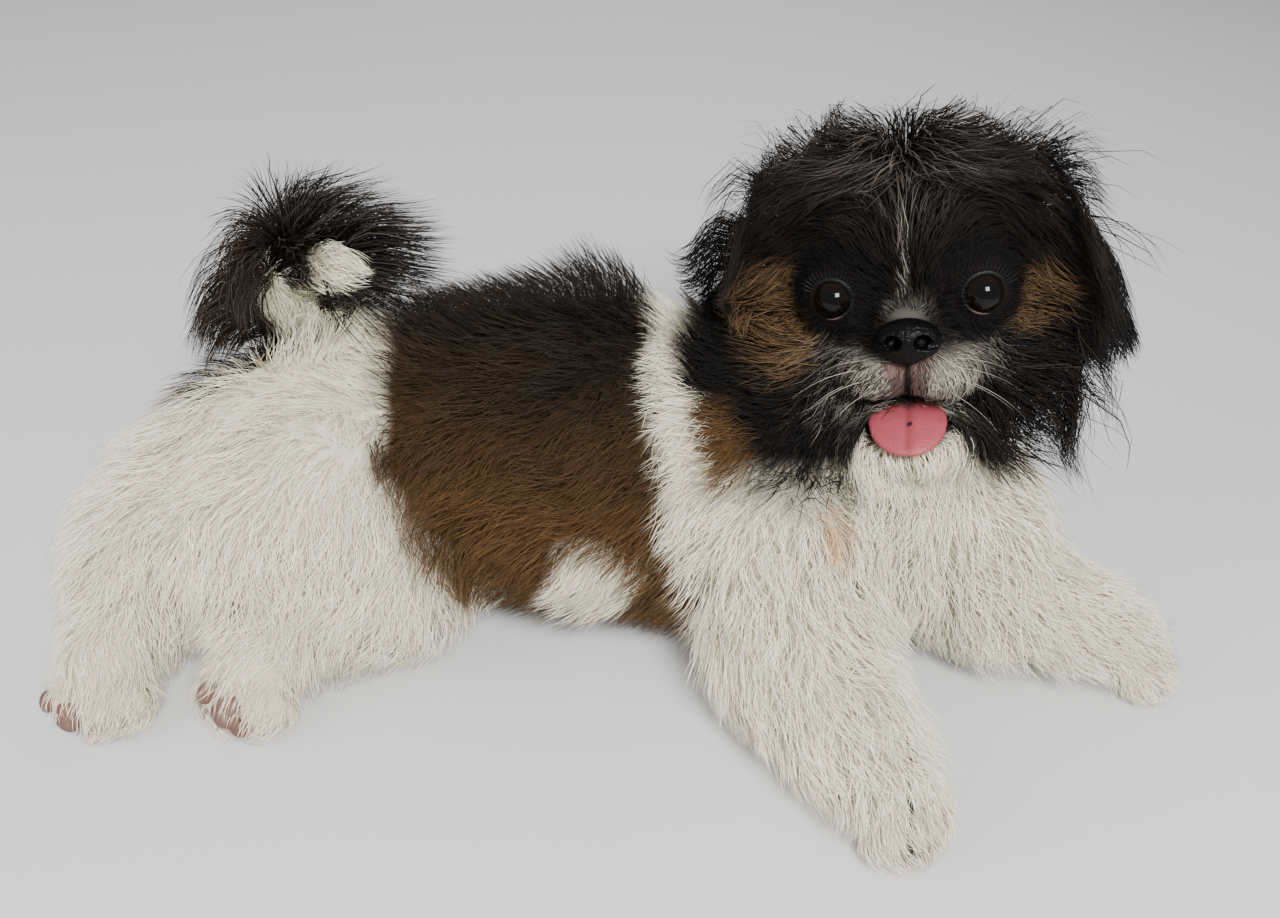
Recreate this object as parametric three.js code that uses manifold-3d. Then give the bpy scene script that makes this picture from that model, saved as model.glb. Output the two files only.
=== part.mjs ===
// A three-month-old shih tzu puppy lying on its belly with its head up, life size, as a still museum
// model. The coat is built as flat, tapered locks that overlap along its lie, over a core of undercoat.
// Millimetres. +Z is up, +X runs from the rump to the breast, and +Y is the puppy's left.
// The origin is on the floor under the middle of the belly.
import * as THREE from "three";
import { mergeVertices } from "three/addons/utils/BufferGeometryUtils.js";
import Module from "manifold-3d";

const wasm = await Module();
wasm.setup();
const { Manifold } = wasm;

const V = (x, y, z) => new THREE.Vector3(x, y, z);
const up = V(0, 0, 1);
const down = V(0, 0, -1);
const backward = V(-1, 0, 0);
const deg = THREE.MathUtils.degToRad;
const clamp = (x, lo = 0, hi = 1) => Math.min(hi, Math.max(lo, x));
const smooth = (lo, hi, x) => {
  const t = clamp((x - lo) / (hi - lo));
  return t * t * (3 - 2 * t);
};

// Driving sizes.
const gap = 0.4; // left between neighbouring pieces
const tolerance = 0.26; // how far a face may stray where needless points are dropped
const trunkRadius = 55; // of the ribcage with its undercoat
const eyeRadius = 6.8;
const eyeSpacing = 43; // between the eyes' centres
const noseHalfWidth = 8.8;
const pawRadius = 16;
const toeRadius = 6.5;
const lidRadius = 6.3;
const lidThickness = 1.5; // half of it, all round the rim
const rootSunk = 4; // how deep a lock's root sits in the core, where its coat says nothing else
const tipDroop = 0.2; // how fast a free lock turns down

// The head's own frame: it looks at the viewer, raised a little, and leans to one side.
const headCentre = V(117, 30, 115);
const lookAzimuth = 102; // degrees from +X towards -Y
const lookElevation = 20;
const headLean = 14;
const skull = { halfWidth: 52, halfHeight: 45, halfDepth: 41 };
const ahead = V(
  Math.cos(deg(lookAzimuth)) * Math.cos(deg(lookElevation)),
  -Math.sin(deg(lookAzimuth)) * Math.cos(deg(lookElevation)),
  Math.sin(deg(lookElevation)),
);
const leftward = up.clone().cross(ahead).normalize().applyAxisAngle(ahead, deg(headLean));
const crownward = ahead.clone().cross(leftward).normalize();
const headAxes = [leftward, crownward, ahead];
// A place in the head: to its left, towards its crown and ahead of its centre.
const inHead = (left, crown, front) =>
  headCentre
    .clone()
    .addScaledVector(leftward, left)
    .addScaledVector(crownward, crown)
    .addScaledVector(ahead, front);
const headPlace = (p) => {
  const d = p.clone().sub(headCentre);
  return V(d.dot(leftward), d.dot(crownward), d.dot(ahead));
};

// The bends of the skeleton that the flesh is laid over.
const joints = {
  pelvis: V(-76, 4, 47),
  loin: V(-30, 5, 47),
  ribs: V(18, 5, 50),
  shoulders: V(70, 0, 48),
  breast: V(116, -12, 42),
  neckBase: V(82, 4, 64),
  nape: V(104, 26, 92),
  rightHip: V(-62, -26, 48),
  rightKnee: V(-48, -40, 26),
  rightHock: V(-74, -52, 20),
  rightToes: V(-79, -75, 15),
  leftHip: V(-92, -10, 42),
  leftKnee: V(-115, -32, 28),
  leftHock: V(-125, -54, 20),
  leftToes: V(-124, -80, 15),
  rightShoulder: V(84, -34, 52),
  rightElbow: V(88, -56, 26),
  rightWrist: V(107, -84, 20),
  rightPaw: V(119, -98, 16),
  leftShoulder: V(144, -10, 48),
  leftElbow: V(160, -20, 25),
  leftWrist: V(190, -27, 19),
  leftPaw: V(208, -29.5, 16),
  tailRoot: V(-82, 16, 84),
  tailRise: V(-88, 20, 98),
  tailBend: V(-82, 14, 111),
  tailTip: V(-67, 8, 113),
};
const J = joints;

// Signed distances of the forms that all flesh is made from.
function roundCone(a, ra, b, rb) {
  const axis = b.clone().sub(a);
  const length2 = axis.dot(axis);
  const dr = ra - rb;
  const slope2 = length2 - dr * dr;
  return (x, y, z) => {
    const px = x - a.x;
    const py = y - a.y;
    const pz = z - a.z;
    const along = px * axis.x + py * axis.y + pz * axis.z;
    const past = along - length2;
    const cx = px * length2 - axis.x * along;
    const cy = py * length2 - axis.y * along;
    const cz = pz * length2 - axis.z * along;
    const across2 = cx * cx + cy * cy + cz * cz;
    const k = Math.sign(dr) * dr * dr * across2;
    const past2 = past * past * length2;
    const along2 = along * along * length2;
    if (Math.sign(past) * slope2 * past2 > k) return Math.sqrt(across2 + past2) / length2 - rb;
    if (Math.sign(along) * slope2 * along2 < k) return Math.sqrt(across2 + along2) / length2 - ra;
    return (Math.sqrt((across2 * slope2) / length2) + along * dr) / length2 - ra;
  };
}

function ellipsoid(centre, radii, axes = headAxes) {
  return (x, y, z) => {
    const d = V(x, y, z).sub(centre);
    const q = axes.map((axis, i) => d.dot(axis) / radii[i]);
    const k0 = Math.hypot(...q);
    const k1 = Math.hypot(q[0] / radii[0], q[1] / radii[1], q[2] / radii[2]);
    return k1 < 1e-9 ? -Math.min(...radii) : (k0 * (k0 - 1)) / k1;
  };
}

// The same egg shape as a closed geometry.
function egg(centre, radii, axes = headAxes, around = 12, rings = 8) {
  const round = new THREE.SphereGeometry(1, around, rings).deleteAttribute("normal").deleteAttribute("uv");
  const [a, b, c] = axes.map((axis, i) => axis.clone().multiplyScalar(radii[i]));
  const place = new THREE.Matrix4().makeBasis(a, b, c).setPosition(centre);
  return mergeVertices(round, 1e-4).applyMatrix4(place);
}

const ball = (centre, r) => (x, y, z) => Math.hypot(x - centre.x, y - centre.y, z - centre.z) - r;

// A smooth union, so that one form runs into the next as flesh does.
function blend(softness, ...forms) {
  return (x, y, z) => {
    let d = forms[0](x, y, z);
    for (const form of forms.slice(1)) {
      const e = form(x, y, z);
      const h = Math.max(softness - Math.abs(d - e), 0) / softness;
      d = Math.min(d, e) - h * h * softness * 0.25;
    }
    return d;
  };
}

const carve = (form, ...holes) => (x, y, z) =>
  Math.max(form(x, y, z), ...holes.map((hole) => -hole(x, y, z)));

// Four toes side by side at the end of a foot.
function toes(wrist, paw, spread = 6.2) {
  const along = paw.clone().sub(wrist).setZ(0).normalize();
  const across = along.clone().cross(up);
  return [-1.5, -0.5, 0.5, 1.5].map((i) => {
    const reach = 12 - 2.2 * Math.abs(i);
    const at = paw.clone().addScaledVector(along, reach).addScaledVector(across, i * spread);
    return ball(at.setZ(toeRadius + 0.5), toeRadius);
  });
}

const mouth = ellipsoid(inHead(0, -35, 38), [12, 6.5, 18]);
const eyePlaces = { left: inHead(eyeSpacing / 2, 0, 34.5), right: inHead(-eyeSpacing / 2, 0, 34.5) };
const noseCentre = inHead(0, -10, 50);
const tongueAxes = [
  leftward,
  crownward.clone().applyAxisAngle(leftward, deg(32)),
  ahead.clone().applyAxisAngle(leftward, deg(32)),
];
const nostril = (side) => ellipsoid(inHead(side * 3.9, -10.5, 57), [2.3, 1.8, 3.5]);

function earAxes(side) {
  const lean = deg(side * 16); // the flap hangs outwards from the cheek
  return headAxes.map((axis) => axis.clone().applyAxisAngle(ahead, lean));
}
function ear(side) {
  const axes = earAxes(side);
  const middle = inHead(side * 57, -2, -6);
  const radii = [7, 28, 18];
  return {
    field: ellipsoid(middle, radii, axes),
    shape: egg(middle, radii, axes, 12, 8),
    hollow: egg(inHead(side * 53, -14, -6), [6, 13, 11], axes, 8, 6),
  };
}

// The core of each sub-part, and the size of the faces that it is built from.
const forms = {
  nose: {
    cell: 2.8,
    field: carve(
      blend(3, ellipsoid(noseCentre, [noseHalfWidth, 5.6, 6.5]), ellipsoid(inHead(0, -14, 50), [5, 4, 5])),
      nostril(1),
      nostril(-1),
    ),
  },
  tongue: { cell: 4, field: ellipsoid(inHead(0, -37.5, 39), [10.5, 2.8, 14], tongueAxes) },
  head: {
    cell: 11,
    field: carve(
      blend(
        14,
        ellipsoid(headCentre, [skull.halfWidth, skull.halfHeight, skull.halfDepth]),
        ellipsoid(inHead(24, -24, 14), [22, 22, 22]),
        ellipsoid(inHead(-24, -24, 14), [22, 22, 22]),
      ),
      mouth,
    ),
  },
  muzzle: {
    cell: 5,
    field: carve(
      blend(
        5,
        ellipsoid(inHead(8.5, -21, 41), [11.5, 9, 11]),
        ellipsoid(inHead(-8.5, -21, 41), [11.5, 9, 11]),
        ellipsoid(inHead(0, -10, 38), [9, 8, 13]),
      ),
      mouth,
    ),
  },
  jaw: {
    cell: 5,
    field: carve(
      blend(6, ellipsoid(inHead(0, -45, 32), [15, 7, 15]), ellipsoid(inHead(0, -47, 22), [18, 9, 14])),
      mouth,
      ellipsoid(inHead(0, -37.5, 39), [12, 3.5, 16], tongueAxes),
    ),
  },
  torso: {
    cell: 18,
    field: blend(
      20,
      roundCone(J.pelvis, 42, J.loin, 49),
      roundCone(J.loin, 49, J.ribs, trunkRadius),
      roundCone(J.ribs, trunkRadius, J.shoulders, 50),
      roundCone(J.shoulders, 48, J.breast, 38),
    ),
  },
  neck: { cell: 17, field: roundCone(J.neckBase, 39, J.nape, 32) },
  ear_left: ear(1),
  ear_right: ear(-1),
  tail: {
    cell: 7.5,
    field: blend(
      8,
      roundCone(J.tailRoot, 12, J.tailRise, 10),
      roundCone(J.tailRise, 10, J.tailBend, 9),
      roundCone(J.tailBend, 9, J.tailTip, 7),
    ),
  },
  forepaw_right: {
    cell: 7.5,
    field: blend(5, roundCone(J.rightWrist, 15, J.rightPaw, pawRadius), ...toes(J.rightWrist, J.rightPaw)),
  },
  forepaw_left: {
    cell: 7.5,
    field: blend(5, roundCone(J.leftWrist, 15, J.leftPaw, pawRadius), ...toes(J.leftWrist, J.leftPaw)),
  },
  hind_paw_right: {
    cell: 7.5,
    field: blend(5, roundCone(J.rightHock, 17, J.rightToes, pawRadius), ...toes(J.rightHock, J.rightToes)),
  },
  hind_paw_left: {
    cell: 7.5,
    field: blend(5, roundCone(J.leftHock, 17, J.leftToes, pawRadius), ...toes(J.leftHock, J.leftToes)),
  },
  foreleg_right: {
    cell: 13,
    field: blend(
      14,
      roundCone(J.rightShoulder, 30, J.rightElbow, 25),
      roundCone(J.rightElbow, 25, J.rightWrist, 22),
    ),
  },
  foreleg_left: {
    cell: 13,
    field: blend(
      14,
      roundCone(J.leftShoulder, 30, J.leftElbow, 22),
      roundCone(J.leftElbow, 22, J.leftWrist, 18),
    ),
  },
  hind_leg_right: {
    cell: 15,
    field: blend(
      18,
      roundCone(J.rightHip, 38, J.rightKnee, 26),
      roundCone(J.rightKnee, 26, J.rightHock, 20),
      ball(V(-84, -36, 34), 30),
    ),
  },
  hind_leg_left: {
    cell: 15,
    field: blend(
      18,
      roundCone(J.leftHip, 38, J.leftKnee, 28),
      roundCone(J.leftKnee, 28, J.leftHock, 20),
    ),
  },
};

// The closed surface where a field is zero, as a net of four-sided faces pulled onto it.
function surfaceNet(field, box, cell) {
  const lo = box.min;
  const n = box.getSize(V(0, 0, 0)).divideScalar(cell).ceil().addScalar(1).toArray();
  const at = (i, j, k) => (k * n[1] + j) * n[0] + i;
  const value = new Float64Array(n[0] * n[1] * n[2]);
  for (let k = 0; k < n[2]; k++)
    for (let j = 0; j < n[1]; j++)
      for (let i = 0; i < n[0]; i++)
        value[at(i, j, k)] = field(lo.x + i * cell, lo.y + j * cell, lo.z + k * cell);
  const corners = [0, 1, 2, 3, 4, 5, 6, 7].map((c) => [c & 1, (c >> 1) & 1, (c >> 2) & 1]);
  const positions = [];
  const vertex = new Map();
  for (let k = 0; k < n[2] - 1; k++)
    for (let j = 0; j < n[1] - 1; j++)
      for (let i = 0; i < n[0] - 1; i++) {
        const crossings = [];
        corners.forEach((corner, a) => {
          for (let axis = 0; axis < 3; axis++) {
            if (corner[axis]) continue;
            const far = corners[a | (1 << axis)];
            const va = value[at(i + corner[0], j + corner[1], k + corner[2])];
            const vb = value[at(i + far[0], j + far[1], k + far[2])];
            if (va < 0 === vb < 0) continue;
            const t = va / (va - vb);
            crossings.push(V(...corner).lerp(V(...far), t));
          }
        });
        if (!crossings.length) continue;
        const middle = V(0, 0, 0);
        crossings.forEach((c) => middle.add(c));
        middle.divideScalar(crossings.length).add(V(i, j, k)).multiplyScalar(cell).add(lo);
        vertex.set(at(i, j, k), positions.length / 3);
        positions.push(...ontoSurface(field, middle, 0, cell * 0.4).toArray());
      }
  const step = [1, n[0], n[0] * n[1]];
  const indices = [];
  for (let k = 1; k < n[2] - 1; k++)
    for (let j = 1; j < n[1] - 1; j++)
      for (let i = 1; i < n[0] - 1; i++)
        for (let axis = 0; axis < 3; axis++) {
          const here = at(i, j, k);
          const inside = value[here] < 0;
          if (inside === value[here + step[axis]] < 0) continue;
          const u = step[(axis + 1) % 3];
          const v = step[(axis + 2) % 3];
          const q = [here - u - v, here - v, here, here - u].map((c) => vertex.get(c));
          if (!inside) q.reverse();
          indices.push(q[0], q[1], q[2], q[0], q[2], q[3]);
        }
  const net = new THREE.BufferGeometry();
  net.setAttribute("position", new THREE.Float32BufferAttribute(positions, 3));
  net.setIndex(indices);
  return net;
}

function slopeOf(field, p, h = 0.5) {
  return V(
    field(p.x + h, p.y, p.z) - field(p.x - h, p.y, p.z),
    field(p.x, p.y + h, p.z) - field(p.x, p.y - h, p.z),
    field(p.x, p.y, p.z + h) - field(p.x, p.y, p.z - h),
  ).normalize();
}

// Moves a point along the field's slope until it lies the given height above the surface.
function ontoSurface(field, p, height = 0, most = 60) {
  const q = p.clone();
  let left = most;
  for (let i = 0; i < 4 && left > 0; i++) {
    const d = clamp(height - field(q.x, q.y, q.z), -left, left);
    q.addScaledVector(slopeOf(field, q), d);
    left -= Math.abs(d);
  }
  return q;
}

function boxOf(field, cell) {
  const search = 8;
  const box = new THREE.Box3();
  for (let x = -180; x <= 260; x += search)
    for (let y = -150; y <= 110; y += search)
      for (let z = -20; z <= 200; z += search)
        if (field(x, y, z) < search) box.expandByPoint(V(x, y, z));
  return box.expandByScalar(cell * 2);
}

// A closed geometry as a solid, and a solid as a geometry.
function solidOf(geometry) {
  const bare = geometry.clone();
  bare.deleteAttribute("normal");
  bare.deleteAttribute("uv");
  const merged = mergeVertices(bare, 1e-4);
  return new Manifold(
    new wasm.Mesh({
      numProp: 3,
      vertProperties: new Float32Array(merged.attributes.position.array),
      triVerts: new Uint32Array(merged.index.array),
    }),
  );
}
function geometryOf(solid) {
  const m = solid.getMesh();
  const g = new THREE.BufferGeometry();
  g.setAttribute("position", new THREE.Float32BufferAttribute(m.vertProperties, 3));
  g.setIndex(new THREE.Uint32BufferAttribute(m.triVerts, 1));
  return g;
}
const largestOf = (solid) => solid.decompose().sort((a, b) => b.volume() - a.volume())[0];

// The same closed surface without the points that it keeps its shape without, within a tolerance.
// Cuts and joins leave many of these, and slivers where two faces nearly meet. The shortest edges go
// first.
function withoutSpares(geometry) {
  const p = geometry.attributes.position;
  const point = Array.from({ length: p.count }, (_, i) => V(0, 0, 0).fromBufferAttribute(p, i));
  const strayed = point.map(() => 0);
  const faces = [];
  const facesAt = point.map(() => new Set());
  for (let i = 0; i < geometry.index.count; i += 3) {
    const face = [0, 1, 2].map((c) => geometry.index.getX(i + c));
    face.forEach((v) => facesAt[v].add(faces.length));
    faces.push(face);
  }
  const around = (v) => new Set([...facesAt[v]].flatMap((f) => faces[f]).filter((w) => w !== v));
  const normalOf = ([a, b, c]) => {
    const ab = point[b].clone().sub(point[a]);
    return ab.cross(point[c].clone().sub(point[a]));
  };
  // How far the surface strays when one point is merged into another, or Infinity where it may not.
  const strayOf = (from, into) => {
    const near = around(into);
    if ([...around(from)].filter((w) => near.has(w)).length !== 2) return Infinity;
    const move = point[into].clone().sub(point[from]);
    let most = 0;
    for (const f of facesAt[from]) {
      const before = normalOf(faces[f]);
      const isThin = before.length() < 1e-4;
      if (!isThin) most = Math.max(most, Math.abs(before.clone().normalize().dot(move)));
      if (faces[f].includes(into)) continue;
      const after = normalOf(faces[f].map((v) => (v === from ? into : v)));
      if (after.length() < 1e-3) return Infinity;
      if (!isThin && before.dot(after) < 0.5 * before.length() * after.length()) return Infinity;
    }
    return most + strayed[from];
  };
  const merge = (from, into, stray) => {
    for (const v of around(from)) strayed[v] = Math.max(strayed[v], stray);
    for (const f of facesAt[from]) {
      if (faces[f].includes(into)) {
        faces[f].forEach((v) => v !== from && facesAt[v].delete(f));
        faces[f] = null;
      } else {
        faces[f] = faces[f].map((v) => (v === from ? into : v));
        facesAt[into].add(f);
      }
    }
    facesAt[from].clear();
  };
  for (const longest of [0.1, 0.3, 0.6, 1.2, 2.5, 5, 10, 20])
    for (let f = 0; f < faces.length; f++)
      for (let side = 0; side < 3 && faces[f]; side++) {
        const ends = [faces[f][side], faces[f][(side + 1) % 3]];
        if (point[ends[0]].distanceTo(point[ends[1]]) > longest) continue;
        const strays = [strayOf(ends[0], ends[1]), strayOf(ends[1], ends[0])];
        const least = Math.min(...strays);
        if (least > tolerance) continue;
        const [from, into] = strays[0] === least ? ends : [ends[1], ends[0]];
        merge(from, into, least);
      }
  // Where the surface touches itself at a point, each side is drawn back a little from the other.
  const places = new Map();
  point.forEach((q, v) => {
    if (!facesAt[v].size) return;
    const key = q.toArray().map((c) => Math.round(c * 200)).join();
    places.set(key, [...(places.get(key) ?? []), v]);
  });
  for (const together of places.values()) {
    if (together.length < 2) continue;
    const inward = together.map((v) => {
      const out = [...facesAt[v]].reduce((sum, f) => sum.add(normalOf(faces[f])), V(0, 0, 0));
      return out.normalize().multiplyScalar(-0.04);
    });
    together.forEach((v, i) => point[v].add(inward[i]));
  }
  const kept = point.map((_, v) => v).filter((v) => facesAt[v].size);
  const place = new Map(kept.map((v, i) => [v, i]));
  const clean = new THREE.BufferGeometry();
  const positions = kept.flatMap((v) => point[v].toArray());
  clean.setAttribute("position", new THREE.Float32BufferAttribute(positions, 3));
  clean.setIndex(faces.filter(Boolean).flat().map((v) => place.get(v)));
  return clean;
}

// The same closed surface with every vertex moved outwards, to cut a clear gap into a neighbour.
function fattened(geometry) {
  const fat = geometry.clone();
  fat.deleteAttribute("normal");
  fat.computeVertexNormals();
  const p = fat.attributes.position;
  const m = fat.attributes.normal;
  for (let i = 0; i < p.count; i++)
    p.setXYZ(i, p.getX(i) + m.getX(i) * gap, p.getY(i) + m.getY(i) * gap, p.getZ(i) + m.getZ(i) * gap);
  return fat;
}

const sides = ["left", "right"];
const eyeRadii = [eyeRadius, eyeRadius, eyeRadius];
const cores = {};
for (const [name, { field, cell, shape }] of Object.entries(forms))
  cores[name] = shape ?? surfaceNet(field, boxOf(field, cell), cell);
for (const side of sides) cores[`eye_${side}`] = egg(eyePlaces[side], eyeRadii);

// Each eyelid is a rounded rim about the eyeball, a little flattened into an almond.
function lids(side) {
  const turned = side === "left" ? 1 : -1;
  const facing = ahead.clone().applyAxisAngle(crownward, deg(turned * 14));
  const rim = new THREE.TorusGeometry(lidRadius, lidThickness, 6, 16);
  rim.scale(1.04, 0.94, 1.25);
  rim.deleteAttribute("normal").deleteAttribute("uv");
  const across = crownward.clone().cross(facing).normalize();
  rim.applyMatrix4(new THREE.Matrix4().makeBasis(across, facing.clone().cross(across), facing));
  const at = eyePlaces[side].clone().addScaledVector(facing, 2.6);
  return solidOf(mergeVertices(rim, 1e-4).translate(at.x, at.y, at.z));
}

// The firmest piece comes first: each one is cut back by the gap from all that come before it.
const firmest = ["eye_left", "eye_right", "nose", "tongue", "head", "muzzle", "jaw", "torso", "neck",
  "ear_left", "ear_right", "tail", "forepaw_right", "forepaw_left", "hind_paw_right",
  "hind_paw_left", "foreleg_right", "foreleg_left", "hind_leg_right", "hind_leg_left"];
const overFloor = solidOf(new THREE.BoxGeometry(900, 900, 300).translate(0, 0, 150));

// The distance to the whole body's cores, to one of them, and whether any other is near.
const names = Object.keys(forms);
const wholeBody = (x, y, z) => Math.min(...names.map((name) => forms[name].field(x, y, z)));
const distanceTo = (name, p) => forms[name].field(p.x, p.y, p.z);
const othersNear = (name, p, clear) => names.some((n) => n !== name && distanceTo(n, p) < clear);

// A repeatable random draw from 0 to 1.
function drawsFrom(seed) {
  let state = seed;
  return () => {
    state = (state * 1664525 + 1013904223) % 4294967296;
    return state / 4294967296;
  };
}

const along = (a, b) => b.clone().sub(a).normalize();
const lean = (...parts) => parts.reduce((sum, [v, share]) => sum.addScaledVector(v, share), V(0, 0, 0));
const towards = (a, b, fall) => () => lean([along(a, b), 1], [down, fall]);

// How the coat lies on the head: outwards from the nose all round, and falling towards the nape.
function faceLie(p) {
  return lean([along(noseCentre, p), 1], [down, 0.35 + 2 * smooth(5, -30, headPlace(p).z)]);
}
// The eyes, the blaze between them and the mouth keep their short hair, with no locks.
const isClearOfFace = (p) => {
  const q = headPlace(p);
  const fromEyes = Math.min(...sides.map((side) => p.distanceTo(eyePlaces[side])));
  const isBlaze = Math.abs(q.x) < 11 && q.y < 16 && q.z > 10;
  const isMouth = Math.abs(q.x) < 24 && q.y < -14 && q.z > 14;
  return fromEyes > 14 && !isBlaze && !isMouth;
};
const faceShare = (p) => smooth(-12, 28, headPlace(p).z);
const crownShare = (p) => smooth(15, 40, headPlace(p).y) * smooth(-30, -5, headPlace(p).z);

// The locks of each sub-part: how many, their sizes, how high the tips stand over the core, their lie,
// and where they may root. A free lock leaves the body, as the plume of the tail and the ears' ends do.
const coats = {
  torso: {
    count: 46,
    length: () => 50,
    width: () => 27,
    lift: () => 8,
    lie: (p) => lean([backward, smooth(150, 90, p.x)], [down, 0.7], [V(0, -0.2, 0), 1]),
    roots: (p, out) => out.z > -0.25 && p.z > 16,
  },
  head: {
    count: 47,
    length: (p) => 46 - 16 * faceShare(p),
    width: (p) => 26 - 12 * faceShare(p),
    lift: (p) => 17 - 5 * faceShare(p) + 9 * crownShare(p),
    lie: faceLie,
    roots: (p) => isClearOfFace(p),
  },
  muzzle: {
    count: 10,
    sink: 2,
    length: () => 15,
    width: () => 6.5,
    lift: () => 4,
    lie: (p) => lean([along(noseCentre, p), 1], [ahead, -0.5]),
    roots: (p) => Math.abs(headPlace(p).x) > 6 && headPlace(p).z > 36,
  },
  jaw: {
    count: 8,
    sink: 3,
    length: () => 18,
    width: () => 9,
    lift: () => 5,
    lie: () => lean([crownward, -1], [ahead, 0.2]),
    roots: (p) => headPlace(p).y < -43 && headPlace(p).z > 26,
  },
  neck: {
    count: 7,
    length: () => 34,
    width: () => 24,
    lift: () => 9,
    lie: () => lean([backward, 0.6], [down, 1]),
    roots: () => true,
  },
  tail: {
    count: 20,
    isFree: true,
    sink: 5,
    length: () => 35,
    width: () => 17,
    lie: (p, out) => lean([out, 1], [up, 0.45]),
    roots: (p, out) => p.z > 88 && out.z > -0.6,
  },
};
for (const side of sides) {
  const outward = leftward.clone().multiplyScalar(side === "left" ? 1 : -1);
  coats[`ear_${side}`] = {
    count: 6,
    isFree: true,
    sink: 3,
    length: () => 30,
    width: () => 17,
    lie: () => lean([crownward, -1], [down, 0.4], [outward, 0.75]),
    roots: (p, out) => out.dot(outward) > 0.3,
  };
  const elbow = J[`${side}Elbow`];
  const wrist = J[`${side}Wrist`];
  const paw = J[`${side}Paw`];
  const hock = J[`${side}Hock`];
  const toesAt = J[`${side}Toes`];
  coats[`foreleg_${side}`] = {
    count: 11,
    length: () => 36,
    width: () => 21,
    lift: () => 7,
    lie: towards(elbow, wrist, 0.6),
    roots: (p, out) => out.z > -0.3 && p.z > 12,
  };
  coats[`hind_leg_${side}`] = {
    count: 14,
    length: () => 44,
    width: () => 26,
    lift: () => 8,
    lie: (p) => lean([along(p, hock), 0.5], [down, 0.9], [V(0, -0.4, 0), 1]),
    roots: (p, out) => out.z > -0.3 && p.z > 12,
  };
  coats[`forepaw_${side}`] = {
    count: 6,
    sink: 3,
    length: () => 16,
    width: () => 9,
    lift: () => 3,
    lie: towards(wrist, paw, 0.3),
    roots: (p, out) => out.z > 0.2,
  };
  coats[`hind_paw_${side}`] = {
    count: 6,
    sink: 3,
    length: () => 17,
    width: () => 10,
    lift: () => 3.5,
    lie: towards(hock, toesAt, 0.3),
    roots: (p, out) => out.z > 0.2,
  };
}

// The stations of a lock's middle line, from its sunk root to its tip.
const bends = 4;
function lockLine(root, coat, sway, shortened) {
  const length = coat.length(root) * shortened;
  const sink = coat.sink ?? rootSunk;
  const step = length / bends;
  const stations = [];
  let p = root.clone();
  let heading = null;
  for (let i = 0; i <= bends; i++) {
    const t = i / bends;
    const out = slopeOf(wholeBody, p);
    if (coat.isFree) {
      heading ??= coat.lie(p, out).normalize();
      heading.addScaledVector(down, tipDroop).normalize();
      const side = V(heading.y, -heading.x, 0).cross(heading);
      stations.push({ p: i ? p.clone() : root.clone().addScaledVector(out, -sink), out: side });
      p.addScaledVector(heading, step);
      continue;
    }
    const height = -sink + (coat.lift(root) + sink) * t ** 0.7;
    const at = ontoSurface(wholeBody, p, height);
    at.z = Math.max(at.z, 3);
    stations.push({ p: at, out });
    const lie = coat.lie(p, out);
    lie.addScaledVector(out, -lie.dot(out)).normalize();
    lie.applyAxisAngle(out, sway * (t - 0.3));
    p = ontoSurface(wholeBody, p.clone().addScaledVector(lie, step));
  }
  return stations;
}

// A flat blade with a ridge, widest near its root and drawn out to a tip. It turns with its middle
// line but doesn't twist, so its faces never cross. Its edges are thin, so a fatter blade that clears
// all its faces by the extra is wider by more than that.
function blade(stations, width, extra = 0) {
  const tip = stations.at(-1).p.clone();
  const last = along(stations.at(-2).p, tip);
  tip.addScaledVector(last, extra * 4);
  const positions = [];
  const middle = stations[bends / 2];
  const across = along(stations[0].p, tip).cross(middle.out).normalize();
  stations.slice(0, -1).forEach(({ p }, i) => {
    const run = along(stations[Math.max(i - 1, 0)].p, stations[i + 1].p);
    across.addScaledVector(run, -across.dot(run)).normalize();
    const rise = across.clone().cross(run);
    const t = i / bends;
    const half = (width * (0.72 + 0.9 * t - 1.45 * t * t)) / 2 + extra * 3;
    const thick = width * (0.26 - 0.13 * t);
    const base = -0.35 * thick - extra;
    const at = (s, r) => p.clone().addScaledVector(across, s).addScaledVector(rise, r).toArray();
    positions.push(...at(half, base), ...at(0, 0.65 * thick + extra * 1.2), ...at(-half, base));
  });
  positions.push(...tip.toArray());
  const indices = [0, 1, 2];
  for (let i = 0; i < bends; i++)
    for (let c = 0; c < 3; c++) {
      const u = i * 3 + c;
      const v = i * 3 + ((c + 1) % 3);
      if (i === bends - 1) indices.push(v, u, bends * 3);
      else indices.push(v, u, u + 3, v, u + 3, v + 3);
    }
  const lock = new THREE.BufferGeometry();
  lock.setAttribute("position", new THREE.Float32BufferAttribute(positions, 3));
  lock.setIndex(indices);
  return solidOf(lock);
}

// Roots spread evenly over a sub-part: each next one is as far from the others as it can be.
function rootsOf(name, coat, draw) {
  const { field } = forms[name];
  const box = boxOf(field, 1);
  const size = box.getSize(V(0, 0, 0));
  const found = [];
  for (let i = 0; i < 900; i++) {
    const p = ontoSurface(field, box.min.clone().add(size.clone().multiply(V(draw(), draw(), draw()))));
    if (p.z < 7 || othersNear(name, p, 1.5)) continue;
    if (coat.roots(p, slopeOf(field, p))) found.push({ p, reach: coat.width(p), far: Infinity });
  }
  const chosen = [];
  while (chosen.length < coat.count && found.length) {
    const next = found.reduce((best, f) => (f.far > best.far ? f : best));
    if (next.far === 0) break;
    chosen.push(next.p);
    for (const f of found)
      f.far = Math.min(f.far, f.p.distanceTo(next.p) / (f.reach + next.reach));
  }
  return chosen;
}

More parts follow.
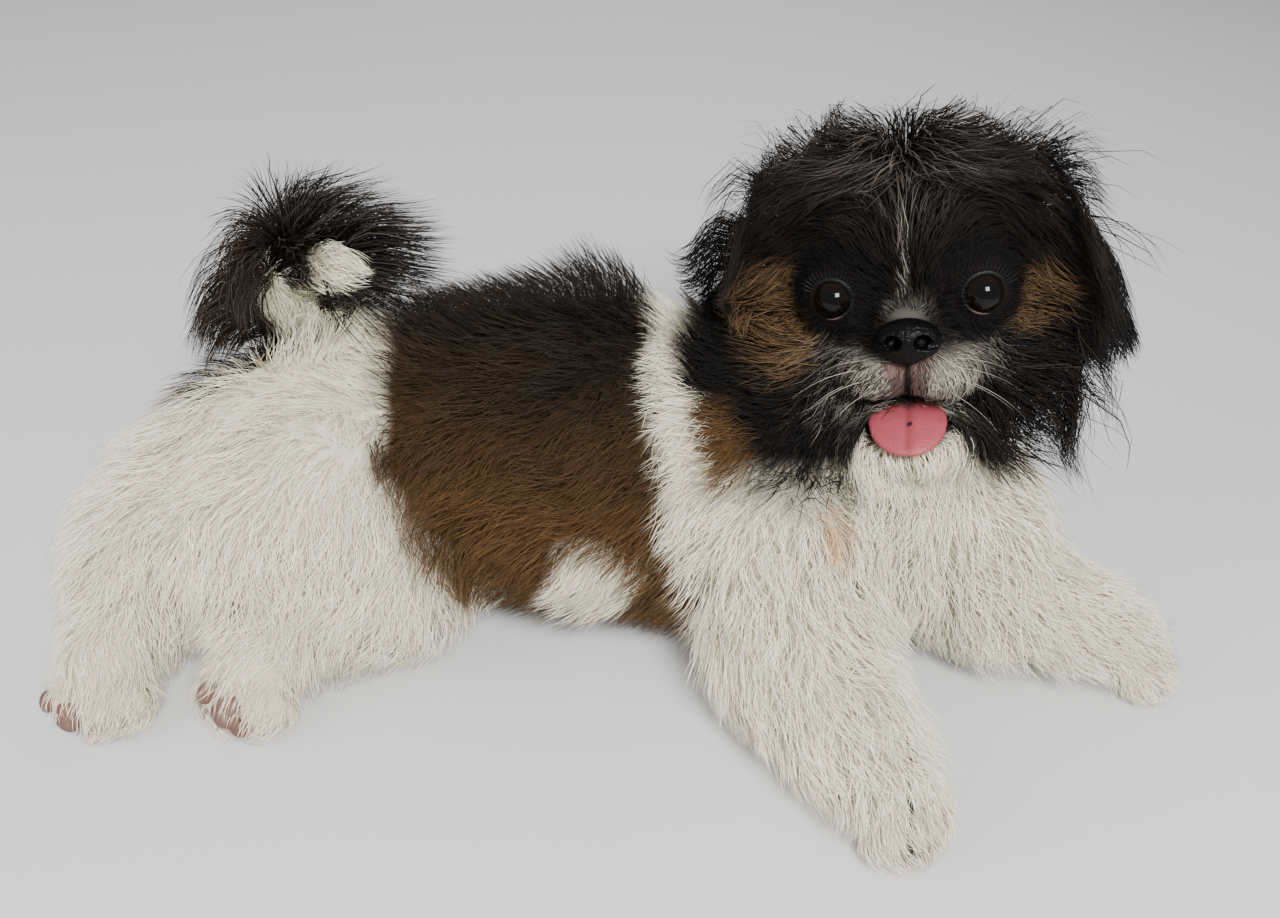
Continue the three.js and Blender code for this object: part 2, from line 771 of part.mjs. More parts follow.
// The locks of each sub-part as one solid, and the same a little fatter, to cut into its neighbours.
const strands = {};
const fatStrands = {};
names.forEach((name, seed) => {
  const coat = coats[name];
  if (!coat) return;
  const strays = ({ p }) =>
    names.some((n) => n !== name && distanceTo(n, p) < Math.min(distanceTo(name, p) - 1, 6));
  const draw = drawsFrom(seed + 11);
  const slim = [];
  const fat = [];
  for (const root of rootsOf(name, coat, draw)) {
    const sway = (draw() - 0.5) * 1.1;
    const share = 0.88 + 0.24 * draw();
    const line = [1, 0.8, 0.62]
      .map((shortened) => lockLine(root, coat, sway, share * shortened))
      .find((stations) => coat.isFree || !stations.slice(1).some(strays));
    if (!line) continue;
    slim.push(blade(line, coat.width(root)));
    fat.push(blade(line, coat.width(root), gap));
  }
  strands[name] = Manifold.union(slim);
  fatStrands[name] = Manifold.union(fat);
});

// Each piece gives way to the firmer ones before it, and its locks give way to every other core.
const fatCore = {};
for (const name of firmest) fatCore[name] = solidOf(fattened(cores[name]));
const pieces = {};
firmest.forEach((name, rank) => {
  const firmer = firmest.slice(0, rank);
  let made = solidOf(cores[name]);
  if (name === "head") made = Manifold.union([made, lids("left"), lids("right")]);
  if (forms[name]?.hollow) made = made.subtract(solidOf(forms[name].hollow));
  for (const other of firmer) made = made.subtract(fatCore[other]);
  if (strands[name]) {
    const others = firmest.filter((n) => n !== name).map((n) => fatCore[n]);
    made = made.add(strands[name].subtract(Manifold.union(others)));
  }
  for (const other of firmer) if (fatStrands[other]) made = made.subtract(fatStrands[other]);
  pieces[name] = largestOf(made.intersect(overFloor));
});

const colours = {
  white: 0xe9e2d6,
  brown: 0x4a2f1c,
  dark: 0x1d1814,
  eye: 0x120d0a,
  nose: 0x15110f,
  tongue: 0xd2707a,
};
const colourOf = {
  eye_left: "eye", eye_right: "eye", nose: "nose", tongue: "tongue", head: "dark", neck: "dark",
  ear_left: "dark", ear_right: "dark", tail: "dark", torso: "brown",
};
const roughnessOf = { eye: 0.1, nose: 0.45, tongue: 0.4 };
const anchors = {
  eye_left: eyePlaces.left,
  eye_right: eyePlaces.right,
  nose: noseCentre,
  forepaw_left: J.leftPaw,
  forepaw_right: J.rightPaw,
  hind_paw_left: J.leftToes,
  hind_paw_right: J.rightToes,
};

// A group at one joint of the body, with the pieces that it carries.
function carry(parent, at, carried, axes) {
  const group = new THREE.Group();
  parent.add(group);
  parent.updateWorldMatrix(true, false);
  group.position.copy(parent.worldToLocal(at.clone()));
  if (axes) group.quaternion.setFromRotationMatrix(new THREE.Matrix4().makeBasis(...axes));
  group.updateWorldMatrix(true, false);
  for (const name of carried) {
    const slot = colourOf[name] ?? "white";
    const roughness = roughnessOf[slot] ?? 0.85;
    const material = new THREE.MeshStandardMaterial({ color: colours[slot], roughness, metalness: 0 });
    const shape = withoutSpares(geometryOf(pieces[name]));
    const mesh = new THREE.Mesh(shape, material);
    mesh.name = name;
    mesh.position.copy(group.worldToLocal((anchors[name] ?? at).clone()));
    group.add(mesh);
    mesh.updateWorldMatrix(true, false);
    shape.applyMatrix4(mesh.matrixWorld.clone().invert());
  }
  return group;
}

const puppy = new THREE.Group();
const trunk = carry(puppy, V(0, 0, 0), ["torso"]);
carry(trunk, J.tailRoot, ["tail"]);
const neck = carry(trunk, J.neckBase, ["neck"]);
carry(
  neck,
  headCentre,
  ["head", "muzzle", "jaw", "nose", "tongue", "eye_left", "eye_right", "ear_left", "ear_right"],
  headAxes,
);
for (const side of sides) {
  carry(trunk, J[`${side}Shoulder`], [`foreleg_${side}`, `forepaw_${side}`]);
  carry(trunk, J[`${side}Hip`], [`hind_leg_${side}`, `hind_paw_${side}`]);
}

export default puppy;
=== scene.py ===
import math

import bmesh
import bpy
import numpy as np
from mathutils import Matrix, Vector
from mathutils.kdtree import KDTree


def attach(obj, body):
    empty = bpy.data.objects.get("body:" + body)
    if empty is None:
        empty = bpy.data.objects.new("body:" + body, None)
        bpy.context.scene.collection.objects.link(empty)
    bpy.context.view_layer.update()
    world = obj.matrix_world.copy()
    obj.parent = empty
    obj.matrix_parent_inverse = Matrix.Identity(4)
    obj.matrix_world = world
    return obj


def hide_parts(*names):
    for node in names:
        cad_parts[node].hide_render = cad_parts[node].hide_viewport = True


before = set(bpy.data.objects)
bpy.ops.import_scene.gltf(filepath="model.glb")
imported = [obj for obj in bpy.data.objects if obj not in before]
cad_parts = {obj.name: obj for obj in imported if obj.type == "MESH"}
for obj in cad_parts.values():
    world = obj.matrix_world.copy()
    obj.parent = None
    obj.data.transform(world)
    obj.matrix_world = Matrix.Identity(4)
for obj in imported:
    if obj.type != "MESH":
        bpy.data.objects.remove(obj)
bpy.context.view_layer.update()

rng = np.random.default_rng(7)
print("frame loaded")


def vec(*values):
    return np.array(values, float)


def unit(v):
    return v / np.maximum(np.linalg.norm(v, axis=-1, keepdims=True), 1e-9)


def smooth(lo, hi, x):
    t = np.clip((x - lo) / (hi - lo), 0, 1)
    return t * t * (3 - 2 * t)


def bump(x, centre, spread):  # 1 at the centre, falling off on both sides
    return np.exp(-(((x - centre) / spread) ** 2))


def turned(v, axis, degrees):
    a = math.radians(degrees)
    return v * math.cos(a) + np.cross(axis, v) * math.sin(a) + axis * (axis @ v) * (1 - math.cos(a))


up = vec(0, 0, 1)

# The head's own frame: to its left, towards its crown, and ahead.
head = {
    "centre": vec(117, 30, 115),
    "azimuth": 102,  # degrees from +X towards -Y
    "elevation": 20,
    "lean": 14,
    "eyeSpacing": 43,
    "eyeRadius": 6.8,
    "eyeAhead": 34.5,
    "nose": vec(0, -10, 50),
}
lookAz, lookEl = math.radians(head["azimuth"]), math.radians(head["elevation"])
ahead = vec(math.cos(lookAz) * math.cos(lookEl), -math.sin(lookAz) * math.cos(lookEl), math.sin(lookEl))
leftward = turned(unit(np.cross(up, ahead)), ahead, head["lean"])
crownward = unit(np.cross(ahead, leftward))
headAxes = np.array([leftward, crownward, ahead])


def inHead(left, crown, front):
    return head["centre"] + vec(left, crown, front) @ headAxes


def headPlace(p):
    return (p - head["centre"]) @ headAxes.T


eyes = {side: inHead(s * head["eyeSpacing"] / 2, 0, head["eyeAhead"]) for side, s in (("left", 1), ("right", -1))}
noseAt = inHead(*head["nose"])

# The bends of the skeleton, as the flesh follows them.
joints = {
    "pelvis": (-76, 4, 47), "loin": (-30, 5, 47), "ribs": (18, 5, 50), "shoulders": (70, 0, 48),
    "breast": (116, -12, 42), "neckBase": (82, 4, 64), "nape": (104, 26, 92),
    "rightHip": (-62, -26, 48), "rightKnee": (-48, -40, 26), "rightHock": (-74, -52, 20),
    "rightToes": (-79, -75, 15), "leftHip": (-92, -10, 42), "leftKnee": (-115, -32, 28),
    "leftHock": (-125, -54, 20), "leftToes": (-124, -80, 15), "rightShoulder": (84, -34, 52),
    "rightElbow": (88, -56, 26), "rightWrist": (107, -84, 20), "rightPaw": (119, -98, 16),
    "leftShoulder": (144, -10, 48), "leftElbow": (160, -20, 25), "leftWrist": (190, -27, 19),
    "leftPaw": (208, -29.5, 16), "tailRoot": (-82, 16, 84), "tailRise": (-88, 20, 98),
    "tailBend": (-82, 14, 111), "tailTip": (-67, 8, 113),
}
J = {name: vec(*at) for name, at in joints.items()}


# Signed distances, each a function of an array of points.
def roundCone(a, ra, b, rb):
    axis = b - a
    length2 = axis @ axis
    dr = ra - rb
    slope2 = length2 - dr * dr

    def distance(p):
        pa = p - a
        along = pa @ axis
        past = along - length2
        across2 = ((pa * length2 - along[:, None] * axis) ** 2).sum(1)
        k = np.sign(dr) * dr * dr * across2
        past2 = past * past * length2
        along2 = along * along * length2
        d = (np.sqrt(across2 * slope2 / length2) + along * dr) / length2 - ra
        d = np.where(np.sign(along) * slope2 * along2 < k, np.sqrt(across2 + along2) / length2 - ra, d)
        return np.where(np.sign(past) * slope2 * past2 > k, np.sqrt(across2 + past2) / length2 - rb, d)

    return distance


def ellipsoid(centre, radii, axes=headAxes):
    radii = np.array(radii, float)

    def distance(p):
        q = ((p - centre) @ axes.T) / radii
        k0 = np.linalg.norm(q, axis=1)
        k1 = np.maximum(np.linalg.norm(q / radii, axis=1), 1e-6)
        return k0 * (k0 - 1) / k1

    return distance


def ball(centre, r):
    return lambda p: np.linalg.norm(p - centre, axis=1) - r


def blend(softness, *forms):  # a smooth union, so that one form runs into the next
    def distance(p):
        d = forms[0](p)
        for form in forms[1:]:
            e = form(p)
            h = np.maximum(softness - np.abs(d - e), 0) / softness
            d = np.minimum(d, e) - h * h * softness * 0.25
        return d

    return distance


def carve(form, *holes):
    return lambda p: np.max([form(p)] + [-hole(p) for hole in holes], axis=0)


def deeper(form, depth):
    return lambda p: form(p) + depth


def toes(wrist, paw, radius=5.6, spread=6.2):
    along = unit((paw - wrist) * vec(1, 1, 0))
    across = np.cross(along, up)
    ends = []
    for i in (-1.5, -0.5, 0.5, 1.5):
        at = paw + along * (12 - 2.2 * abs(i)) + across * i * spread
        at[2] = radius + 1.2
        ends.append(ball(at, radius))
    return ends


def paw(wrist, end, wristRadius):
    return blend(5, roundCone(wrist, wristRadius - 4, end, 11), *toes(wrist, end))


# The bare body under the coat, part by part. It lies inside the solids' undercoat by the depth of it.
skinDepth = {"trunk": 8, "legs": 6, "tail": 4}
mouth = ellipsoid(inHead(0, -37, 40), (12, 7.6, 18))
flesh = {
    "torso": deeper(
        blend(
            20,
            roundCone(J["pelvis"], 42, J["loin"], 49),
            roundCone(J["loin"], 49, J["ribs"], 55),
            roundCone(J["ribs"], 55, J["shoulders"], 50),
            roundCone(J["shoulders"], 48, J["breast"], 38),
        ),
        skinDepth["trunk"],
    ),
    "neck": deeper(roundCone(J["neckBase"], 39, J["nape"], 32), skinDepth["trunk"]),
    "tail": deeper(
        blend(
            8,
            roundCone(J["tailRoot"], 12, J["tailRise"], 10),
            roundCone(J["tailRise"], 10, J["tailBend"], 9),
            roundCone(J["tailBend"], 9, J["tailTip"], 7),
        ),
        skinDepth["tail"],
    ),
    "foreleg_right": deeper(
        blend(
            14,
            roundCone(J["rightShoulder"], 30, J["rightElbow"], 25),
            roundCone(J["rightElbow"], 25, J["rightWrist"], 22),
        ),
        skinDepth["legs"],
    ),
    "foreleg_left": deeper(
        blend(
            14,
            roundCone(J["leftShoulder"], 30, J["leftElbow"], 22),
            roundCone(J["leftElbow"], 22, J["leftWrist"], 18),
        ),
        skinDepth["legs"],
    ),
    "hind_leg_right": deeper(
        blend(
            18,
            roundCone(J["rightHip"], 38, J["rightKnee"], 26),
            roundCone(J["rightKnee"], 26, J["rightHock"], 20),
            ball(vec(-84, -36, 34), 30),
        ),
        skinDepth["legs"],
    ),
    "hind_leg_left": deeper(
        blend(
            18,
            roundCone(J["leftHip"], 38, J["leftKnee"], 28),
            roundCone(J["leftKnee"], 28, J["leftHock"], 20),
        ),
        skinDepth["legs"],
    ),
    "forepaw_right": paw(J["rightWrist"], J["rightPaw"], 15),
    "forepaw_left": paw(J["leftWrist"], J["leftPaw"], 15),
    "hind_paw_right": paw(J["rightHock"], J["rightToes"], 17),
    "hind_paw_left": paw(J["leftHock"], J["leftToes"], 17),
    "head": blend(
        10,
        ellipsoid(head["centre"], (45, 38, 34)),
        ellipsoid(inHead(22, -22, 14), (17, 17, 18)),
        ellipsoid(inHead(-22, -22, 14), (17, 17, 18)),
        ellipsoid(inHead(0, 0, 21), (34, 22, 14)),
    ),
    "muzzle": blend(
        5,
        ellipsoid(inHead(8.5, -21, 40), (10.5, 8, 10.5)),
        ellipsoid(inHead(-8.5, -21, 40), (10.5, 8, 10.5)),
        ellipsoid(inHead(0, -9, 37), (8.5, 7.5, 12)),
    ),
    "jaw": blend(
        5,
        ellipsoid(inHead(0, -46, 31), (13.5, 5.5, 14.5)),
        ellipsoid(inHead(0, -45, 20), (17, 9, 13)),
    ),
}
for side, s in (("left", 1), ("right", -1)):
    hang = np.array([turned(axis, ahead, s * 16) for axis in headAxes])
    flesh["ear_" + side] = ellipsoid(inHead(s * 56, -2, -6), (3.5, 26, 16), hang)
partNames = list(flesh)
eyeMounds = [ball(at - ahead * 4, 9.4) for at in eyes.values()]
wholeFlesh = blend(6, *flesh.values(), *eyeMounds)


def underFloor(p):
    return p[:, 2] - 0.4


skinField = carve(wholeFlesh, mouth, underFloor)
headParts = ("head", "muzzle", "jaw", "ear_left", "ear_right")


def inChunks(field, p, size=60000):  # small runs of points stay in the processor's cache
    return np.concatenate([field(p[i:i + size]) for i in range(0, len(p), size)])


def slopeOf(field, p, h=0.4):
    steps = np.eye(3) * h
    return unit(np.stack([inChunks(field, p + s) - inChunks(field, p - s) for s in steps], 1))


# The closed surface where a field is zero, as a net of four-sided faces pulled onto it. Only the
# blocks of cells near the surface are worked out in full.
def surfaceNet(field, low, high, cell, block=4):
    low = np.array(low, float)
    blocks = np.ceil((np.array(high) - low) / (cell * block)).astype(int)
    middles = np.stack(np.meshgrid(*[np.arange(n) + 0.5 for n in blocks], indexing="ij"), -1)
    value = inChunks(field, low + middles.reshape(-1, 3) * cell * block).reshape(blocks)
    near = np.argwhere(np.abs(value) < cell * block * 1.4)
    for axis in range(3):
        value = np.repeat(value, block, axis)
    value = np.pad(value, ((0, 1),) * 3, mode="edge")
    offsets = np.stack(np.meshgrid(*[np.arange(block + 1)] * 3, indexing="ij"), -1).reshape(-1, 3)
    nodes = np.unique((near[:, None] * block + offsets).reshape(-1, 3), axis=0)
    value[tuple(nodes.T)] = inChunks(field, low + nodes * cell)
    inside = value < 0
    corners = np.array([[c & 1, (c >> 1) & 1, (c >> 2) & 1] for c in range(8)])
    size = np.array(inside.shape) - 1
    held = sum(inside[i:i + size[0], j:j + size[1], k:k + size[2]].astype(np.int8) for i, j, k in corners)
    cells = np.argwhere((held > 0) & (held < 8))
    number = -np.ones(size, int)
    number[tuple(cells.T)] = np.arange(len(cells))
    at = np.stack([value[tuple((cells + c).T)] for c in corners], 1)
    total = np.zeros((len(cells), 3))
    count = np.zeros(len(cells))
    for a in range(8):
        for axis in range(3):
            b = a | (1 << axis)
            if a == b:
                continue
            crosses = (at[:, a] < 0) != (at[:, b] < 0)
            t = at[:, a] / np.where(crosses, at[:, a] - at[:, b], 1)
            total += np.where(crosses[:, None], corners[a] + t[:, None] * (corners[b] - corners[a]), 0)
            count += crosses
    verts = low + (cells + total / count[:, None]) * cell
    verts -= slopeOf(field, verts) * np.clip(inChunks(field, verts), -cell / 2, cell / 2)[:, None]
    quads = []
    for axis in range(3):
        one, u, v = (np.roll(np.eye(3, dtype=int)[0], axis + i) for i in range(3))
        here = inside[:-1, :-1, :-1]
        there = inside[one[0]:, one[1]:, one[2]:][tuple(slice(0, n) for n in here.shape)]
        edges = np.argwhere(here != there)
        edges = edges[(edges[:, (axis + 1) % 3] > 0) & (edges[:, (axis + 2) % 3] > 0)]
        ring = np.stack([number[tuple((edges - d).T)] for d in (u + v, v, 0 * u, u)], 1)
        outward = here[tuple(edges.T)]
        quads.append(np.where(outward[:, None], ring, ring[:, ::-1]))
    return verts, np.concatenate(quads)


def newMesh(name, verts, faces, smoothed=True):  # millimetres in, metres out
    sides = faces.shape[1]
    mesh = bpy.data.meshes.new(name)
    mesh.vertices.add(len(verts))
    mesh.vertices.foreach_set("co", (np.asarray(verts) / 1000).ravel())
    mesh.loops.add(faces.size)
    mesh.loops.foreach_set("vertex_index", faces.ravel().astype(np.int32))
    mesh.polygons.add(len(faces))
    mesh.polygons.foreach_set("loop_start", np.arange(0, faces.size, sides, dtype=np.int32))
    mesh.polygons.foreach_set("use_smooth", np.full(len(faces), smoothed))
    mesh.update(calc_edges=True)
    piece = bpy.data.objects.new(name, mesh)
    bpy.context.scene.collection.objects.link(piece)
    return piece


def paint(piece, colours, name="hue"):
    rgba = np.ones((len(colours), 4))
    rgba[:, :3] = colours
    layer = piece.data.color_attributes.new(name=name, type="FLOAT_COLOR", domain="POINT")
    layer.data.foreach_set("color", rgba.ravel())


def finishPiece(piece, material, slot, *nodes):
    piece.data.materials.append(material)
    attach(piece, "root")
    if nodes:
        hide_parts(*nodes)
    return piece


# Materials.
def newMaterial(name, roughness, **settings):
    material = bpy.data.materials.new(name)
    material.use_nodes = True
    shader = material.node_tree.nodes["Principled BSDF"]
    shader.inputs["Roughness"].default_value = roughness
    for socket, value in settings.items():
        shader.inputs[socket.replace("_", " ")].default_value = value
    return material, material.node_tree.nodes, material.node_tree.links, shader


def mottleGroup():  # lightens and darkens a colour in soft patches, and gives a fine height for a bump
    group = bpy.data.node_groups.new("mottle", "ShaderNodeTree")
    for socket, kind, value in (
        ("Colour", "NodeSocketColor", (0.5, 0.5, 0.5, 1)),
        ("Patch size", "NodeSocketFloat", 60.0),
        ("Patch strength", "NodeSocketFloat", 0.2),
        ("Grain size", "NodeSocketFloat", 900.0),
    ):
        entry = group.interface.new_socket(socket, in_out="INPUT", socket_type=kind)
        entry.default_value = value
    group.interface.new_socket("Colour", in_out="OUTPUT", socket_type="NodeSocketColor")
    group.interface.new_socket("Height", in_out="OUTPUT", socket_type="NodeSocketFloat")
    nodes, links = group.nodes, group.links
    given, out = nodes.new("NodeGroupInput"), nodes.new("NodeGroupOutput")
    place = nodes.new("ShaderNodeTexCoord")
    patches, grain = nodes.new("ShaderNodeTexNoise"), nodes.new("ShaderNodeTexNoise")
    patches.inputs["Detail"].default_value = 3
    grain.inputs["Detail"].default_value = 2
    links.new(place.outputs["Object"], patches.inputs["Vector"])
    links.new(place.outputs["Object"], grain.inputs["Vector"])
    links.new(given.outputs["Patch size"], patches.inputs["Scale"])
    links.new(given.outputs["Grain size"], grain.inputs["Scale"])
    centred = nodes.new("ShaderNodeMath")
    centred.operation = "SUBTRACT"
    centred.inputs[1].default_value = 0.5
    links.new(patches.outputs["Fac"], centred.inputs[0])
    change = nodes.new("ShaderNodeMath")
    change.operation = "MULTIPLY_ADD"
    change.inputs[2].default_value = 1
    links.new(centred.outputs[0], change.inputs[0])
    links.new(given.outputs["Patch strength"], change.inputs[1])
    scaled = nodes.new("ShaderNodeVectorMath")
    scaled.operation = "SCALE"
    links.new(given.outputs["Colour"], scaled.inputs[0])
    links.new(change.outputs[0], scaled.inputs["Scale"])
    links.new(scaled.outputs[0], out.inputs["Colour"])
    links.new(grain.outputs["Fac"], out.inputs["Height"])
    return group


mottle = mottleGroup()


def mottledMaterial(name, roughness, patchSize, patchStrength, grainSize, depth, **settings):
    material, nodes, links, shader = newMaterial(name, roughness, **settings)
    hue = nodes.new("ShaderNodeAttribute")
    hue.attribute_name = "hue"
    tone = nodes.new("ShaderNodeGroup")
    tone.node_tree = mottle
    tone.inputs["Patch size"].default_value = patchSize
    tone.inputs["Patch strength"].default_value = patchStrength
    tone.inputs["Grain size"].default_value = grainSize
    relief = nodes.new("ShaderNodeBump")
    relief.inputs["Distance"].default_value = depth
    relief.inputs["Strength"].default_value = 0.6
    links.new(hue.outputs["Color"], tone.inputs["Colour"])
    links.new(tone.outputs["Colour"], shader.inputs["Base Color"])
    links.new(tone.outputs["Height"], relief.inputs["Height"])
    links.new(relief.outputs["Normal"], shader.inputs["Normal"])
    return material


hair = mottledMaterial("puppyHair", 0.72, 70, 0.3, 2500, 0.00003, Specular_IOR_Level=0.11)
bareSkin = mottledMaterial("bareSkin", 0.9, 200, 0.4, 1400, 0.0002, Specular_IOR_Level=0.05)
noseLeather = mottledMaterial("noseLeather", 0.32, 300, 0.5, 1100, 0.0009, Specular_IOR_Level=0.1)
wetTongue = mottledMaterial("wetTongue", 0.45, 250, 0.3, 1500, 0.0005, Specular_IOR_Level=0.3)
eyeGlass = mottledMaterial("eyeGlass", 0.05, 500, 0.3, 100, 0.0, Specular_IOR_Level=0.16)
lipSkin = mottledMaterial("lipSkin", 0.5, 300, 0.4, 1500, 0.0002, Specular_IOR_Level=0.15)
padSkin = mottledMaterial("padSkin", 0.6, 300, 0.5, 1300, 0.0007, Specular_IOR_Level=0.3)
horn = mottledMaterial("clawHorn", 0.35, 400, 0.5, 900, 0.0002)
stiffHair = mottledMaterial("whiskerHair", 0.4, 200, 0.3, 2500, 0.00002)

# The markings, as colours at places on the body.
tones = {
    "white": vec(0.92, 0.835, 0.66),
    "cream": vec(0.60, 0.43, 0.27),
    "tan": vec(0.20, 0.118, 0.055),
    "rust": vec(0.118, 0.062, 0.0235),
    "darkBrown": vec(0.028, 0.018, 0.0105),
    "black": vec(0.0068, 0.0058, 0.0050),
    "grey": vec(0.12, 0.102, 0.088),
    "silver": vec(0.30, 0.27, 0.225),
    "pink": vec(0.27, 0.155, 0.14),
}


def wobble(p, size, phase=0.0):  # a soft wavering from -1 to 1, for the edges of the markings
    x, y, z = (p / size + phase).T
    return (np.sin(x * 2.1 + np.sin(y * 1.7) * 1.3) + np.sin(y * 2.7 + z * 1.9) + np.sin(z * 3.1 - x * 1.4)) / 3


def mix(a, b, share):
    return a + (b - a) * np.asarray(share)[:, None]


def tailStrip(p):  # the white strip that runs up the side of the tail that the viewer sees
    x, y, z = p.T
    return smooth(-2, 2, x + 91 - 2.3 * np.clip(z - 102, 0, 7)) * smooth(121, 116, z) * smooth(15, 10, y) * smooth(-60, -66, x)


def markings(p, isHead, draw):  # the draw from 0 to 1 sets which hairs are the pale ones
    x, y, z = p.T
    waver = wobble(p, 14)
    many = np.ones((len(p), 1))
    saddle = mix(tones["rust"] * many, tones["darkBrown"], smooth(58, 101, z + 5 * waver))
    saddle = mix(saddle, tones["black"] * 1.4, smooth(96, 110, z + 4 * waver) * 0.85)
    saddle = mix(saddle, tones["tan"], smooth(72, 20, z) * 0.3 * smooth(0.3, 0.9, draw))
    saddle = mix(saddle, tones["darkBrown"], 0.45 * smooth(0.6, 0.1, draw))
    fromHaunch = x + 23 + 0.52 * (z - 35) + 4 * waver
    fromCollar = 53 - 0.25 * (z - 24.5) - x + 3 * waver
    body = mix(tones["white"] * many, saddle, smooth(-3, 3, fromHaunch) * smooth(-3, 3, fromCollar))
    belly = ((x - 20) / 15) ** 2 + ((z - 34) / 19) ** 2 + 0.4 * waver
    body = mix(body, tones["white"], smooth(1.2, 0.8, belly) * (y < 0))
    # Beyond the white collar the nape is brown, and black below the beard.
    patchEdge = z - 74 - 0.15 * (x - 60) + 3 * waver
    nape = smooth(-3, 3, x - 54 + 0.23 * (z - 73) + 3 * waver) * smooth(-3, 4, patchEdge)
    nape = nape * smooth(112, 98, x + 0.8 * y)
    l, c, f = headPlace(p).T
    napeTone = mix(tones["rust"] * many, tones["darkBrown"], 0.6 * smooth(0.7, 0.2, draw))
    napeTone = mix(napeTone, tones["black"], smooth(-55, -47, l + 4 * waver))
    body = mix(body, napeTone, nape)
    fromHead = np.linalg.norm(p - head["centre"], axis=1)
    besideEar = smooth(-30, -24, c + 2 * waver) * smooth(-42, -50, l) * smooth(90, 84, fromHead + 3 * waver)
    besideEar = besideEar * smooth(-77, -70, l + 2 * waver)
    body = mix(body, tones["black"], besideEar)
    streak = ((x - 97) / 6) ** 2 + ((y + 54) / 9) ** 2 + ((z - 70) / 11) ** 2
    body = mix(body, tones["cream"] * vec(1, 0.85, 0.65), smooth(1.3, 0.5, streak) * 0.8)
    crease = ((x - 66) / 10) ** 2 + ((z - 38 - 0.9 * (x - 66)) / 3.5) ** 2
    body = mix(body, tones["cream"], smooth(1.2, 0.4, crease) * (y < -20) * 0.6)
    rump = smooth(-66, -76, x) * smooth(-2, 5, y - 0.55 * (x + 88) + 3 * waver) * smooth(58, 70, z)
    body = mix(body, mix(tones["black"] * 1.5 * many, tones["darkBrown"], draw), rump)
    tailTop = smooth(96, 104, z + 0.9 * (y - 8)) * smooth(-44, -54, x)
    body = mix(body, tones["black"] * 1.3, tailTop * (1 - tailStrip(p)))
    toesWarm = smooth(26, 8, z) * smooth(-62, -84, y) * 0.35
    body = mix(body, tones["cream"], toesWarm * draw)
    # The head.
    w = wobble(p, 9, 3.0)
    outer = np.clip(smooth(34, 62, c) + smooth(46, 66, np.abs(l)) * smooth(-20, 0, c), 0, 1)
    brown = tones["darkBrown"] * (1 + 0.5 * outer[:, None])
    face = mix(tones["black"] * many, brown, (0.15 + 0.75 * outer) * smooth(0.1, 0.8, draw))
    knot = bump(l, -3, 24) * bump(c, 44, 15) * smooth(-4, 10, f)
    face = mix(face, tones["grey"], np.clip(knot * 1.3, 0, 1) * smooth(0.5, 0.72, draw + 0.16 * w))
    tanRight = smooth(1.2, 0.7, ((l + 42) / 15) ** 2 + ((c + 8) / 19) ** 2 + 0.3 * w + 0.5 * (draw - 0.5))
    tanLeft = smooth(1.2, 0.7, ((l - 39) / 14) ** 2 + ((c + 4) / 10) ** 2 + 0.3 * w + 0.5 * (draw - 0.5))
    glow = 0.55 + 0.45 * smooth(20, -18, c)  # the tan is palest low on the cheek
    face = mix(face, tones["tan"] * 1.1, np.clip(tanRight * glow + tanLeft * 0.6, 0, 1) * (0.25 + 0.75 * smooth(0.1, 0.8, draw)))
    isFront = smooth(26, 34, f)
    nearLip = smooth(-13, -19, c) * smooth(-40, -34, c) * smooth(14, 24, f)
    pale = smooth(36, 10, np.abs(l)) * smooth(2, 9, np.abs(l))
    pale = pale * (0.55 + 0.32 * smooth(-6, 6, l))
    face = mix(face, tones["silver"], nearLip * smooth(-0.12, 0.2, pale - draw * 0.95))
    beside = bump(c, -17, 7) * bump(np.abs(l), 24, 10) * isFront  # pale hairs among the black beside the nose
    face = mix(face, tones["silver"] * 0.8, beside * smooth(0.72, 0.85, draw))
    middle = bump(l, 0, 6) * smooth(-15, -20, c) * smooth(-36, -31, c) * smooth(38, 44, f)
    face = mix(face, vec(0.17, 0.105, 0.09), middle * 0.85)
    cream = bump(l, 13, 6) * bump(c, -25, 6) + 0.4 * bump(l, -13, 6) * bump(c, -26, 6)
    face = mix(face, tones["white"] * 0.6, np.clip(cream, 0, 1) * isFront * smooth(0.7, 0.3, draw))
    bridge = bump(c, -3, 3.5) * bump(l, 0, 8) * isFront
    face = mix(face, tones["silver"] * 0.45, np.clip(bridge * 1.2, 0, 1) * smooth(0.3, 0.6, draw))
    blaze = smooth(2.2, 0.8, np.abs(l + 1.5 + 0.9 * w)) * smooth(-2, 4, c) * smooth(31, 24, c) * isFront
    face = mix(face, tones["silver"] * 0.7, blaze * smooth(0.45, 0.65, draw))
    parting = bump(l, 0, 1.3) * smooth(-14, -18, c) * smooth(-34, -30, c) * smooth(40, 44, f)
    face = mix(face, tones["black"], np.clip(parting * 1.3, 0, 1))
    eyeNear = np.min([np.linalg.norm(p - at, axis=1) for at in eyes.values()], axis=0)
    face = mix(face, tones["black"] * 0.7, smooth(17, 12, eyeNear - 3 * smooth(-2, 4, c)))
    isEar = smooth(55, 61, np.abs(l)) * smooth(30, 10, c)
    face = mix(face, tones["black"], isEar)
    chin = smooth(-42, -45, c) * smooth(3, -2, np.abs(l) + 2 * w - 12 + 0.8 * (c + 44)) * smooth(-6, 4, f)
    face = mix(face, tones["white"], chin)
    strands = (draw > 0.95) * smooth(-26, -40, c) * smooth(-14, -24, l)
    face = mix(face, tones["silver"] * 1.3, strands)
    return mix(body, face, isHead)


